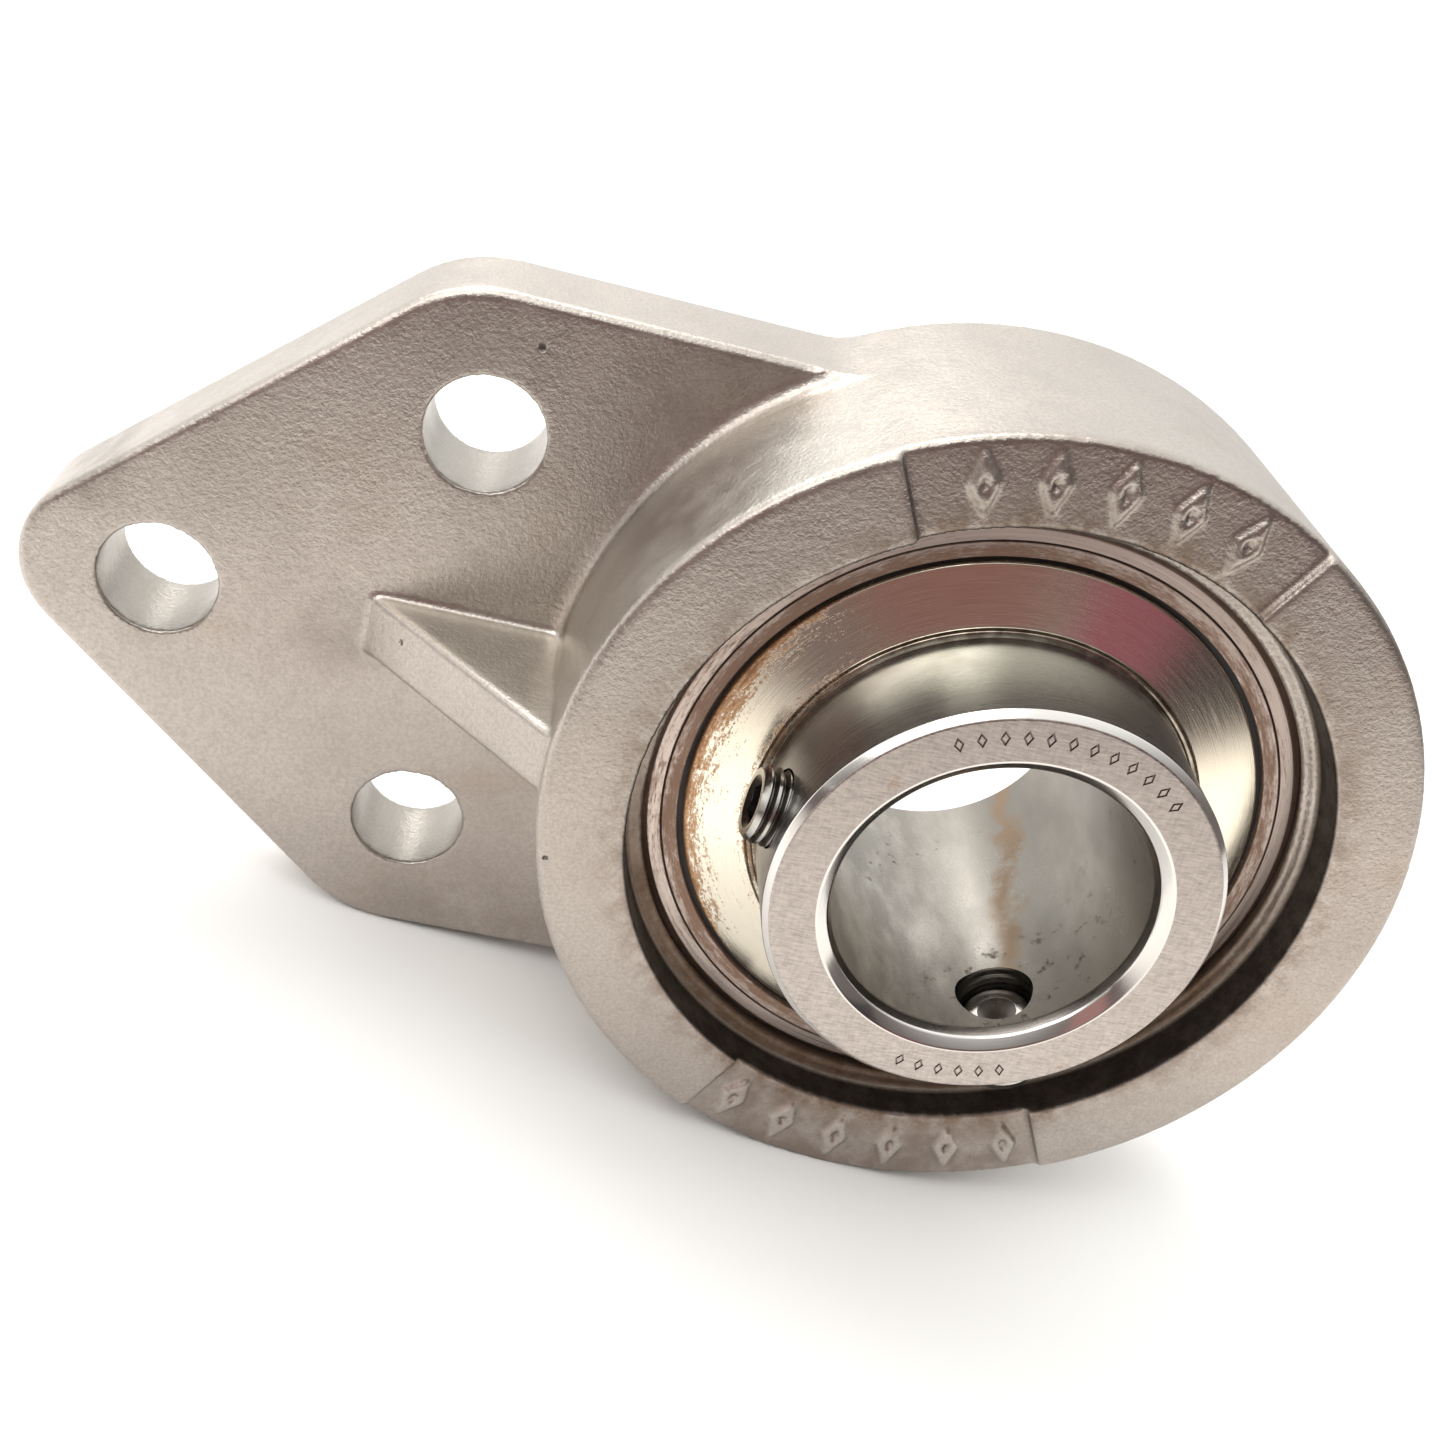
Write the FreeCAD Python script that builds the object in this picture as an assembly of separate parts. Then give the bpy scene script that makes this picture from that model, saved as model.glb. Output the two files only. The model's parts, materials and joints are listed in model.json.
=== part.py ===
import FreeCAD, Part
import math
import os

# Three-bolt flange bracket bearing unit: a cast stainless housing with a spherical seat, and a
# self-aligning, relubricable ball bearing insert locked to its shaft by two set screws.
#
# Frame: the origin is the swivel centre, where the shaft axis crosses the middle plane of the balls.
# +Y runs along the shaft towards the mounting face, -Y towards the nose that holds the set screws.
# The flange reaches towards -X, and +Z is up. Millimetres throughout.

V = FreeCAD.Vector
ORIGIN = V(0, 0, 0)
SHAFT = V(0, 1, 0)
FRONT = -1
REAR = 1

# ---- Housing ---------------------------------------------------------------------------------------
mount_y = 17.9
flange_thickness = 11.8
boss_height = 33.9
boss_r = 45.3
flange_front_y = mount_y - flange_thickness
boss_front_y = mount_y - boss_height
cast_edge = 0.9
junction_fillet = 1.8

hole_r = 6.25
tip_hole_x = -87.8
side_hole_x = -57.5
side_hole_z = 23.9
tip_centre_x = -92.4
tip_r = 9.8
corner_r = 15.0
waist_r = 10.0

rib_half = 3.5
rib_tip_x = -66.0
rib_top_y = -14.9
rib_edge = 0.8

insert_r = 36.0
seat_clearance = 0.05
seat_half = 10.7
opening_r = 36.2
slot_half = 10.2
seat_groove_half = 1.2
seat_groove_depth = 0.9

cartouche_half_deg = 28.0
cartouche_depth = 0.9
mark_height = 0.6
mark_r = 40.9
mark_long = 3.0
mark_wide = 1.35
mark_stroke = 0.75
mark_pitch_deg = 9.2
top_marks = 5
bottom_marks = 6

# ---- Insert ----------------------------------------------------------------------------------------
bore_r = 15.875
ring_r = 22.8
nose_y = -25.4
tail_y = 17.5
outer_half = 9.5
outer_land_r = 30.6
outer_mouth_r = 31.2
outer_edge = 0.9
turned_line_r = 32.4
turned_line_width = 0.24
turned_line_depth = 0.25

ball_count = 9
ball_r = 5.556
pitch_r = 26.75
groove_r = 1.04 * ball_r
race_gap = 0.02

seal_y = 7.4
seal_groove_r = 31.8
seal_groove_width = 1.0
shield_thickness = 0.5
shield_inner_r = 24.4
shield_outer_r = 31.0
skin_thickness = 0.4
bead_r = 31.75
bead_height = 0.8
lip_gap = 0.04

flinger_r = 30.25
flinger_root_y = 10.8
flinger_rim_y = 9.35
flinger_sheet = 0.7
flinger_turn_in = 0.25
collar_r = 23.7
collar_step = 0.5
collar_depth = 1.3

cage_inner_r = 24.7
cage_outer_r = 28.8
cage_sheet = 0.7
pocket_gap = 0.12
rivet_r = 0.9
rivet_head_r = 1.6
rivet_head = 0.7

lube_y = 6.2
lube_hole_r = 1.0
lube_channel_r = 1.25
ring_groove_half = 0.9
ring_groove_depth = 1.2

# ---- Set screws ------------------------------------------------------------------------------------
screw_y = -18.3
screw_r = 3.97
screw_root_r = 3.42
screw_pitch = 1.058
screw_length = 8.0
screw_hole_gap = 0.03
socket_flats = 3.97
socket_depth = 3.6
screw_chamfer = 0.55
cup_r = 2.2
cup_depth = 1.3
first_screw_deg = 173.6
first_screw_end_r = 25.2
second_screw_deg = -66.4
second_screw_end_r = 26.4

# ---- Grease nipple ---------------------------------------------------------------------------------
nipple_face_x = 44.9
nipple_stem_r = 3.0
nipple_root_r = 2.55
nipple_stem = 6.0
nipple_pitch = 1.0
nipple_flats = 8.0
nipple_hex = 2.4
nipple_neck_r = 2.3
nipple_neck_y = 3.7
nipple_head_r = 3.2
nipple_head_y = 4.5
nipple_head_band = 0.6
nipple_nose_r = 1.7
nipple_height = 6.9
nipple_passage_r = 0.7
nipple_mouth_r = 0.8
nipple_chamber_r = 1.35
nipple_ball_r = 1.2
nipple_ball_y = 5.4
spring_wire_r = 0.15
spring_coil_r = 0.95
spring_low_y = 2.0
spring_high_y = 4.35
spring_turns = 5


def turned(profile):
    """Solid of revolution about the shaft axis from its (radius, y) corners."""
    corners = [V(radius, y, 0) for radius, y in profile]
    face = Part.Face(Part.makePolygon(corners + corners[:1]))
    return face.revolve(ORIGIN, SHAFT, 360)


def tube(inner_r, outer_r, low_y, high_y):
    """Plain ring about the shaft axis."""
    return turned([(inner_r, low_y), (outer_r, low_y), (outer_r, high_y), (inner_r, high_y)])


def disc(radius, low_y, high_y):
    """Plain cylinder about the shaft axis."""
    return Part.makeCylinder(radius, high_y - low_y, V(0, low_y, 0), SHAFT)


def prism(corners, depth):
    """Polygon swept along a vector."""
    return Part.Face(Part.makePolygon(corners + corners[:1])).extrude(depth)


def hexagon(flats, low_y, high_y):
    """Hexagonal bar about the shaft axis, by its width across flats."""
    corner_r = flats / math.sqrt(3)
    angles = [math.radians(60 * side) for side in range(6)]
    corners = [V(corner_r * math.cos(a), low_y, corner_r * math.sin(a)) for a in angles]
    return prism(corners, V(0, high_y - low_y, 0))


def threaded(crest_r, root_r, pitch, low_y, high_y, chamfer):
    """Externally threaded rod about the shaft axis, its thread drawn as rings one pitch apart."""
    profile = [(0, low_y), (crest_r - chamfer, low_y), (crest_r, low_y + chamfer)]
    y = low_y + chamfer
    while y + pitch < high_y - chamfer:
        profile += [(crest_r, y + 0.12 * pitch), (root_r, y + 0.5 * pitch), (crest_r, y + 0.88 * pitch)]
        y += pitch
    profile += [(crest_r, high_y - chamfer), (crest_r - chamfer, high_y), (0, high_y)]
    return turned(profile)


def radial(shape, degrees, y=0.0, out=0.0):
    """Turn a shape built along +Y to point away from the shaft, at an angle from +X towards +Z."""
    angle = math.radians(degrees)
    away = V(math.cos(angle), 0, math.sin(angle))
    move = FreeCAD.Placement(away * out + V(0, y, 0), FreeCAD.Rotation(SHAFT, away))
    placed = shape.copy()
    placed.Placement = move.multiply(shape.Placement)
    return placed


def around(shape, degrees):
    """Turn a shape about the shaft axis, from +X towards +Z."""
    placed = shape.copy()
    placed.rotate(ORIGIN, SHAFT, -degrees)
    return placed


def on_side(shape, side):
    """A shape built on the rear side, or its mirror image on the front side."""
    if side == REAR:
        return shape
    return shape.mirror(ORIGIN, SHAFT)


def edges_in_plane(shape, y):
    """Edges that lie flat in the plane at y."""
    return [edge for edge in shape.Edges
            if edge.BoundBox.YLength < 0.01 and abs(edge.BoundBox.YMin - y) < 0.01]


# ---- Housing ---------------------------------------------------------------------------------------


def flange_outline():
    """Half outlines of the flange above and below the X axis, joined inside the boss."""
    tip = V(tip_centre_x, 0, 0)
    corner = V(side_hole_x, 0, side_hole_z)
    along = corner - tip
    span = along.Length
    lean = math.asin((tip_r - corner_r) / span)
    along.normalize()
    normal = V(-along.z, 0, along.x)
    outward = normal * math.cos(lean) + along * math.sin(lean)
    half_turn = V(outward.x, 0, outward.z + 1)
    half_turn.normalize()

    edge_z = side_hole_z + corner_r
    waist = V(-math.sqrt((boss_r + waist_r) ** 2 - (edge_z + waist_r) ** 2), 0, edge_z + waist_r)
    to_boss = V(-waist.x, 0, -waist.z)
    to_boss.normalize()
    waist_mid = to_boss + V(0, 0, -1)
    waist_mid.normalize()

    upper = {
        "tip_end": tip + outward * tip_r,
        "corner_start": corner + outward * corner_r,
        "corner_mid": corner + half_turn * corner_r,
        "corner_end": corner + V(0, 0, corner_r),
        "waist_start": V(waist.x, 0, edge_z),
        "waist_mid": waist + waist_mid * waist_r,
        "boss_touch": waist + to_boss * waist_r,
        "inside": V(0, 0, side_hole_z),
    }
    lower = {name: V(p.x, 0, -p.z) for name, p in upper.items()}
    edges = [Part.Arc(lower["tip_end"], tip - V(tip_r, 0, 0), upper["tip_end"]).toShape()]
    for side in (upper, lower):
        edges += [
            Part.LineSegment(side["tip_end"], side["corner_start"]).toShape(),
            Part.Arc(side["corner_start"], side["corner_mid"], side["corner_end"]).toShape(),
            Part.LineSegment(side["corner_end"], side["waist_start"]).toShape(),
            Part.Arc(side["waist_start"], side["waist_mid"], side["boss_touch"]).toShape(),
            Part.LineSegment(side["boss_touch"], side["inside"]).toShape(),
        ]
    edges.append(Part.LineSegment(upper["inside"], lower["inside"]).toShape())
    return Part.Wire(Part.__sortEdges__(edges))


def flange():
    """Flange plate with its upper cast edge rounded."""
    plate = Part.Face(flange_outline()).extrude(V(0, -flange_thickness, 0))
    plate.translate(V(0, mount_y, 0))
    rim = []
    for edge in edges_in_plane(plate, flange_front_y):
        reach = max(math.hypot(corner.X, corner.Z) for corner in edge.Vertexes)
        if reach > boss_r + 0.01:
            rim.append(edge)
    return plate.makeFillet(cast_edge, rim)


def boss():
    """Round boss with rounded front edges."""
    body = disc(boss_r, boss_front_y, mount_y)
    return body.makeFillet(cast_edge, edges_in_plane(body, boss_front_y))


def rib():
    """Sloping gusset between the tip of the flange and the boss."""
    wall_x = -boss_r + 3.2
    foot_y = flange_front_y + 2.0
    slope = (rib_top_y - flange_front_y) / (-boss_r - rib_tip_x)
    corners = [
        V(rib_tip_x - (foot_y - flange_front_y) / abs(slope), foot_y, -rib_half),
        V(-boss_r, rib_top_y, -rib_half),
        V(wall_x, rib_top_y, -rib_half),
        V(wall_x, foot_y, -rib_half),
    ]
    gusset = prism(corners, V(0, 0, 2 * rib_half))
    crest = []
    for edge in gusset.Edges:
        box = edge.BoundBox
        along_slope = box.ZLength < 0.01 and box.XLength > 5 and box.YLength > 5
        if along_slope:
            crest.append(edge)
    return gusset.makeFillet(rib_edge, crest)


def junction():
    """Cove where the boss wall meets the front of the flange, kept inside the flange's outline."""
    outer_r = boss_r + junction_fillet
    top_y = flange_front_y - junction_fillet
    ring = tube(boss_r - 2, outer_r, top_y, flange_front_y + 2)
    cove = ring.cut(Part.makeTorus(outer_r, junction_fillet, V(0, top_y, 0), SHAFT))
    footprint = Part.Face(flange_outline()).extrude(V(0, -2 * junction_fillet - 2, 0))
    footprint.translate(V(0, flange_front_y + 1, 0))
    return cove.common(footprint)


def sector(half_deg, inner_r, outer_r, low_y, high_y):
    """Ring segment about the shaft axis, centred on +X."""
    corners = [V(inner_r, low_y, 0), V(outer_r, low_y, 0), V(outer_r, high_y, 0), V(inner_r, high_y, 0)]
    face = Part.Face(Part.makePolygon(corners + corners[:1]))
    return around(face.revolve(ORIGIN, SHAFT, 2 * half_deg), half_deg)


def lozenge(long, wide, centre_r, low_y, high_y):
    """Upright diamond bar standing out along -Y, its long axis radial, on the +X side."""
    corners = [
        V(centre_r - long, high_y, 0),
        V(centre_r, high_y, wide),
        V(centre_r + long, high_y, 0),
        V(centre_r, high_y, -wide),
    ]
    return prism(corners, V(0, low_y - high_y, 0))


def casting_marks():
    """Rows of plain outlined diamonds raised from the floor of the two cartouches."""
    floor_y = boss_front_y + cartouche_depth
    top_y = floor_y - mark_height
    outer = lozenge(mark_long, mark_wide, mark_r, top_y, floor_y + 0.3)
    inner = lozenge(mark_long - 2.1 * mark_stroke, mark_wide - mark_stroke, mark_r, top_y - 1, floor_y)
    mark = outer.cut(inner)
    marks = []
    for centre_deg, count in ((90, top_marks), (-90, bottom_marks)):
        first_deg = centre_deg - mark_pitch_deg * (count - 1) / 2
        marks += [around(mark, first_deg + mark_pitch_deg * step) for step in range(count)]
    return marks


def housing():
    body = boss().fuse([flange(), rib(), junction()]).removeSplitter()

    seat = Part.makeSphere(insert_r + seat_clearance, ORIGIN, SHAFT)
    front_opening = disc(opening_r, boss_front_y - 1, -seat_half)
    rear_opening = disc(opening_r, seat_half, mount_y + 1)
    slot = Part.makeBox(2 * slot_half, mount_y + 1, 2 * opening_r, V(-slot_half, 0, -opening_r))
    loading_slots = slot.common(disc(opening_r, 0, mount_y + 1))
    groove_r = insert_r + seat_groove_depth
    groove = tube(insert_r - 2, groove_r, lube_y - seat_groove_half, lube_y + seat_groove_half)
    body = body.cut([seat, front_opening, rear_opening, loading_slots, groove])

    through = 2 * flange_thickness
    holes = [Part.makeCylinder(hole_r, through, V(x, mount_y + 1 - through, z), SHAFT)
             for x, z in ((tip_hole_x, 0), (side_hole_x, side_hole_z), (side_hole_x, -side_hole_z))]

    cartouche = sector(cartouche_half_deg, opening_r - 1, boss_r + 2, boss_front_y - 1,
                       boss_front_y + cartouche_depth)
    recesses = [around(cartouche, 90), around(cartouche, -90)]

    stem_hole = radial(disc(nipple_stem_r, -nipple_stem - 0.2, 0), 0, lube_y, nipple_face_x)
    spot_face = radial(disc(nipple_flats * 0.75, 0, 3), 0, lube_y, nipple_face_x)
    channel = radial(disc(lube_channel_r, -10, 0), 0, lube_y, nipple_face_x)
    body = body.cut(holes + recesses + [stem_hole, spot_face, channel])
    return body.fuse(casting_marks()).removeSplitter()


# ---- Insert ----------------------------------------------------------------------------------------


def outer_ring():
    """Outer ring with a ball-shaped outside, a deep raceway, seal grooves and two grease holes."""
    corner_y = outer_half - outer_edge
    edge_r = math.sqrt(insert_r ** 2 - corner_y ** 2)
    groove_end = seal_y + seal_groove_width
    bore_side = []
    for side in (REAR, FRONT):
        step = [
            (outer_mouth_r, side * outer_half),
            (outer_mouth_r, side * groove_end),
            (seal_groove_r, side * groove_end),
            (seal_groove_r, side * seal_y),
            (outer_land_r, side * seal_y),
        ]
        bore_side += step if side == REAR else step[::-1]
    face_side = [
        (turned_line_r, -outer_half),
        (turned_line_r + turned_line_width / 2, -outer_half + turned_line_depth),
        (turned_line_r + turned_line_width, -outer_half),
    ]
    outside = [
        (edge_r - 1.0, -outer_half),
        (edge_r, -corner_y),
        (insert_r + 1, -corner_y),
        (insert_r + 1, corner_y),
        (edge_r, corner_y),
        (edge_r - 1.0, outer_half),
    ]
    ring = turned(bore_side + face_side + outside).common(Part.makeSphere(insert_r, ORIGIN, SHAFT))
    race = Part.makeTorus(pitch_r + ball_r + race_gap - groove_r, groove_r, ORIGIN, SHAFT)
    groove_floor_r = insert_r - ring_groove_depth
    lube_groove = tube(groove_floor_r, insert_r + 1, lube_y - ring_groove_half, lube_y + ring_groove_half)
    hole = disc(lube_hole_r, outer_land_r - 1, insert_r + 1)
    holes = [radial(hole, degrees, lube_y) for degrees in (20, 200)]
    return ring.cut([race, lube_groove] + holes)


def inner_ring():
    """Extended inner ring: bore, raceway, polished corners and two screw holes in the nose."""
    profile = [
        (bore_r, nose_y + 1.9),
        (bore_r + 0.35, nose_y + 0.95),
        (bore_r + 0.85, nose_y + 0.3),
        (bore_r + 1.5, nose_y),
        (ring_r - 0.8, nose_y),
        (ring_r - 0.25, nose_y + 0.25),
        (ring_r, nose_y + 0.8),
        (ring_r, tail_y - 0.6),
        (ring_r - 0.6, tail_y),
        (bore_r + 0.8, tail_y),
        (bore_r, tail_y - 0.8),
    ]
    race = Part.makeTorus(pitch_r - ball_r - race_gap + groove_r, groove_r, ORIGIN, SHAFT)
    hole = disc(screw_r + screw_hole_gap, bore_r - 3, ring_r + 2)
    holes = [radial(hole, degrees, screw_y) for degrees in (first_screw_deg, second_screw_deg)]
    return turned(profile).cut([race] + holes)


def ball_angle(number):
    """Angle of a ball from +X towards +Z, the first one on top."""
    return 90 + 360 * number / ball_count


def ball_centre(number):
    angle = math.radians(ball_angle(number))
    return V(pitch_r * math.cos(angle), 0, pitch_r * math.sin(angle))


def ball(number):
    return Part.makeSphere(ball_r, ball_centre(number))


def cage_half(side):
    """Pressed ribbon half: pockets round the balls, joined by flat webs."""
    pocket_r = ball_r + pocket_gap
    reach = pocket_r + cage_sheet
    band = tube(cage_inner_r, cage_outer_r, 0, cage_sheet)
    centres = [ball_centre(number) for number in range(ball_count)]
    shells = [Part.makeSphere(reach, centre) for centre in centres]
    pockets = [Part.makeSphere(pocket_r, centre) for centre in centres]
    ribbon = band.fuse(shells).common(tube(cage_inner_r, cage_outer_r, 0, reach + 1)).cut(pockets)
    rivet_holes = []
    for number in range(ball_count):
        hole = Part.makeCylinder(rivet_r, 6, V(pitch_r, -3, 0), SHAFT)
        rivet_holes.append(around(hole, ball_angle(number + 0.5)))
    return on_side(ribbon.cut(rivet_holes), side)


def cage_rivets():
    """One rivet between each pair of balls, with a domed head on both sides."""
    top = cage_sheet + rivet_head
    crown_r = rivet_head_r - 0.6
    shoulder_y = top - 0.5
    rivet = turned([
        (0, -top),
        (crown_r, -top),
        (rivet_head_r, -shoulder_y),
        (rivet_head_r, -cage_sheet),
        (rivet_r, -cage_sheet),
        (rivet_r, cage_sheet),
        (rivet_head_r, cage_sheet),
        (rivet_head_r, shoulder_y),
        (crown_r, top),
        (0, top),
    ])
    rivet.translate(V(pitch_r, 0, 0))
    return Part.makeCompound([around(rivet, ball_angle(number + 0.5)) for number in range(ball_count)])


def seal_shield(side):
    """Pressed steel stiffener, dished away from the balls."""
    back_y = seal_y + 0.1
    return on_side(tube(shield_inner_r, shield_outer_r, back_y, back_y + shield_thickness), side)


def seal_rubber(side):
    """Rubber moulded over the stiffener: snap bead in the outer ring, running lip on the inner ring."""
    back_y = seal_y + 0.1
    skin_y = back_y + shield_thickness
    outer_y = skin_y + skin_thickness
    profile = [
        (ring_r + lip_gap, back_y - 0.5),
        (ring_r + 0.5, back_y - 0.9),
        (shield_inner_r, back_y - 0.2),
        (shield_inner_r, skin_y),
        (shield_outer_r, skin_y),
        (shield_outer_r, back_y),
        (bead_r, back_y),
        (bead_r, back_y + bead_height),
        (outer_mouth_r - 0.1, back_y + bead_height),
        (outer_mouth_r - 0.3, outer_y),
        (shield_inner_r - 0.5, outer_y),
        (ring_r + lip_gap, back_y + 0.4),
    ]
    return on_side(turned(profile), side)


def flinger(side):
    """Pressed slinger: collar gripping the inner ring, shallow cone, rim turned towards the seal."""
    inside_y = flinger_rim_y - flinger_sheet
    step_y = flinger_root_y + collar_step
    profile = [
        (ring_r, flinger_root_y - collar_depth),
        (ring_r + 0.6, flinger_root_y - collar_depth),
        (collar_r, flinger_root_y - flinger_sheet - 0.1),
        (flinger_r - flinger_sheet, inside_y),
        (flinger_r - flinger_sheet + 0.1, inside_y - flinger_turn_in),
        (flinger_r, inside_y - flinger_turn_in),
        (flinger_r, flinger_rim_y - flinger_turn_in),
        (flinger_r - flinger_turn_in, flinger_rim_y),
        (collar_r, flinger_root_y - 0.05),
        (collar_r - 0.1, step_y - 0.15),
        (collar_r - 0.35, step_y),
        (ring_r + 0.3, step_y),
        (ring_r, step_y - 0.2),
    ]
    return on_side(turned(profile), side)


def set_screw(degrees, end_r):
    """Socket set screw with a cup point, its outer end at the given radius."""
    rod = threaded(screw_r, screw_root_r, screw_pitch, end_r - screw_length, end_r, screw_chamfer)
    socket = hexagon(socket_flats, end_r - socket_depth, end_r + 1)
    mouth_r = socket_flats / 2 + 0.45
    mouth = turned([
        (0, end_r - 0.5),
        (socket_flats / 2, end_r - 0.35),
        (mouth_r, end_r),
        (mouth_r, end_r + 1),
        (0, end_r + 1),
    ])
    point_y = end_r - screw_length
    cup = turned([(0, point_y + cup_depth), (cup_r, point_y), (cup_r, point_y - 1), (0, point_y - 1)])
    return radial(rod.cut([socket, mouth, cup]), degrees, screw_y)


# ---- Grease nipple ---------------------------------------------------------------------------------


def nipple_body():
    """Threaded stem, chamfered hexagon and grooved head, drilled through for grease."""
    stem = threaded(nipple_stem_r, nipple_root_r, nipple_pitch, -nipple_stem, 0, 0.4)
    half_flats = nipple_flats / 2
    chamfers = turned([
        (0, 0),
        (half_flats, 0),
        (half_flats + 0.6, 0.35),
        (half_flats + 0.6, nipple_hex - 0.35),
        (half_flats, nipple_hex),
        (0, nipple_hex),
    ])
    base = hexagon(nipple_flats, 0, nipple_hex).common(chamfers)
    head = turned([
        (0, nipple_hex),
        (nipple_neck_r + 0.3, nipple_hex),
        (nipple_neck_r, nipple_hex + 0.4),
        (nipple_neck_r, nipple_neck_y),
        (nipple_head_r, nipple_head_y),
        (nipple_head_r, nipple_head_y + nipple_head_band),
        (nipple_nose_r, nipple_height),
        (0, nipple_height),
    ])
    body = stem.fuse([base, head]).removeSplitter()
    passage = disc(nipple_passage_r, -nipple_stem - 1, 3)
    floor_y = spring_low_y - 0.2
    chamber = turned([
        (0, floor_y),
        (nipple_chamber_r, floor_y),
        (nipple_chamber_r, nipple_ball_y + 0.2),
        (nipple_mouth_r, nipple_height - 0.5),
        (nipple_mouth_r, nipple_height + 1),
        (0, nipple_height + 1),
    ])
    return radial(body.cut([passage, chamber]), 0, lube_y, nipple_face_x)


def nipple_ball():
    return radial(Part.makeSphere(nipple_ball_r, V(0, nipple_ball_y, 0)), 0, lube_y, nipple_face_x)


def nipple_spring():
    """Small closed coil that holds the check ball against its seat."""
    rise = spring_high_y - spring_low_y
    path = Part.makeHelix(rise / spring_turns, rise, spring_coil_r)
    angles = [math.radians(22.5 + 45 * side) for side in range(8)]
    corners = [V(spring_coil_r + spring_wire_r * math.cos(a), 0, spring_wire_r * math.sin(a)) for a in angles]
    section = Part.makePolygon(corners + corners[:1])
    coil = Part.Wire(path.Edges).makePipeShell([section], True, True)
    coil.rotate(ORIGIN, V(1, 0, 0), -90)
    coil.translate(V(0, spring_low_y, 0))
    return radial(coil, 0, lube_y, nipple_face_x)


def main():
    parts = {
        "housing": housing(),
        "outer_ring": outer_ring(),
        "inner_ring": inner_ring(),
        "cage_front": cage_half(FRONT),
        "cage_rear": cage_half(REAR),
        "cage_rivets": cage_rivets(),
        "set_screw_1": set_screw(first_screw_deg, first_screw_end_r),
        "set_screw_2": set_screw(second_screw_deg, second_screw_end_r),
        "grease_nipple": nipple_body(),
        "grease_nipple_ball": nipple_ball(),
        "grease_nipple_spring": nipple_spring(),
    }
    for number in range(ball_count):
        parts["ball_%d" % (number + 1)] = ball(number)
    for name, side in (("front", FRONT), ("rear", REAR)):
        parts["seal_shield_" + name] = seal_shield(side)
        parts["seal_rubber_" + name] = seal_rubber(side)
        parts["flinger_" + name] = flinger(side)

    os.makedirs("parts", exist_ok=True)
    for name, shape in parts.items():
        shape.exportStep("parts/%s.step" % name)
        print("%-22s %10.2f mm3  valid %s" % (name, shape.Volume, shape.isValid()))


main()
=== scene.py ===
import json
import math

import bmesh
import bpy
import numpy as np
from mathutils import Matrix, Vector


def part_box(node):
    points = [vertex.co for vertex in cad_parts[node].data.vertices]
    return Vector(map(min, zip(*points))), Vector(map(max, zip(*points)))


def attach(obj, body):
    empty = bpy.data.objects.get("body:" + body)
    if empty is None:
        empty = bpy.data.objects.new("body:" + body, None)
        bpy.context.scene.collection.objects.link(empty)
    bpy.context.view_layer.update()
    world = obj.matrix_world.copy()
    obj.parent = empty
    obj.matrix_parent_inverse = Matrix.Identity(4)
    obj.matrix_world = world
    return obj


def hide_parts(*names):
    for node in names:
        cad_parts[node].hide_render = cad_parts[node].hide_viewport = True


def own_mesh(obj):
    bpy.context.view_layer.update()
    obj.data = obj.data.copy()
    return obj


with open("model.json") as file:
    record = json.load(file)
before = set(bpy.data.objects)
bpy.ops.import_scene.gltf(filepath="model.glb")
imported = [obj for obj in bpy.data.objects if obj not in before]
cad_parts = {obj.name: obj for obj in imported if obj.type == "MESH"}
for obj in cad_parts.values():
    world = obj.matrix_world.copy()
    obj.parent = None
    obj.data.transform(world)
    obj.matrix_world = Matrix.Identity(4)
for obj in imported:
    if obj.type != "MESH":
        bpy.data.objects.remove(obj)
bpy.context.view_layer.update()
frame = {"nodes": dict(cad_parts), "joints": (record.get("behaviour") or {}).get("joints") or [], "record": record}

# Lengths below are in millimetres and become metres through MM. The row frame is the CAD's: the shaft
# axis is Y, the nose points to -Y, the flange reaches towards -X and +Z is up. The origin is the swivel
# centre. Angles round the shaft run from +X towards +Z.
MM = 0.001
SHAFT = Vector((0, 1, 0))

# Sizes that the frame states.
housing_low, housing_high = (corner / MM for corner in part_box("housing"))
inner_low, inner_high = (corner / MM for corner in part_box("inner_ring"))
mounts = {mount["name"]: mount for mount in frame["record"]["mounts"]}
screw_joints = {joint["child"]: joint for joint in frame["joints"] if joint["type"] == "slide"}
SCREWS = ("set_screw_1", "set_screw_2")
hole_r = mounts["bolt_hole_tip"]["dims"]["r_mm"]
bolt_holes = [Vector(mount["pos_m"]) / MM for name, mount in mounts.items() if name.startswith("bolt_hole_")]
boss_r = housing_high.z
boss_front_y = housing_low.y
mount_y = housing_high.y
nose_y = inner_low.y
tail_y = inner_high.y
ring_r = inner_high.z
bore_r = mounts["shaft_bore"]["dims"]["r_mm"]
outer_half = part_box("outer_ring")[1].y / MM
flinger_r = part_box("flinger_front")[1].z / MM

# Sizes that the CAD has and the frame doesn't state.
flange_thickness = 11.8
flange_front_y = mount_y - flange_thickness
opening_r = 36.2        # hole in the boss face, in front of the ball-shaped seat
screw_y = -18.3         # set screws' place along the shaft
screw_r = 3.97          # thread crest
screw_depth = 0.55      # thread crest to root, and the end chamfer
screw_pitch = 1.058
screw_length = 8.0
socket_flats = 3.97
socket_depth = 3.6
flinger_root = 10.8     # y of the flinger's outer face at the collar
flinger_rim = 9.35      # y of the same face at the rim
land_r = 30.6           # bore of the outer ring beside its raceway
seal_groove_r = 31.8    # bottom of the outer ring's seal groove
seal_groove_low = 7.4   # y of the groove's inner wall
seal_groove_high = 8.4  # y of its outer wall
turned_line_r = 32.52   # fine line on the outer ring's front face


# ---- Node helpers ----------------------------------------------------------------------------------


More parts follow.
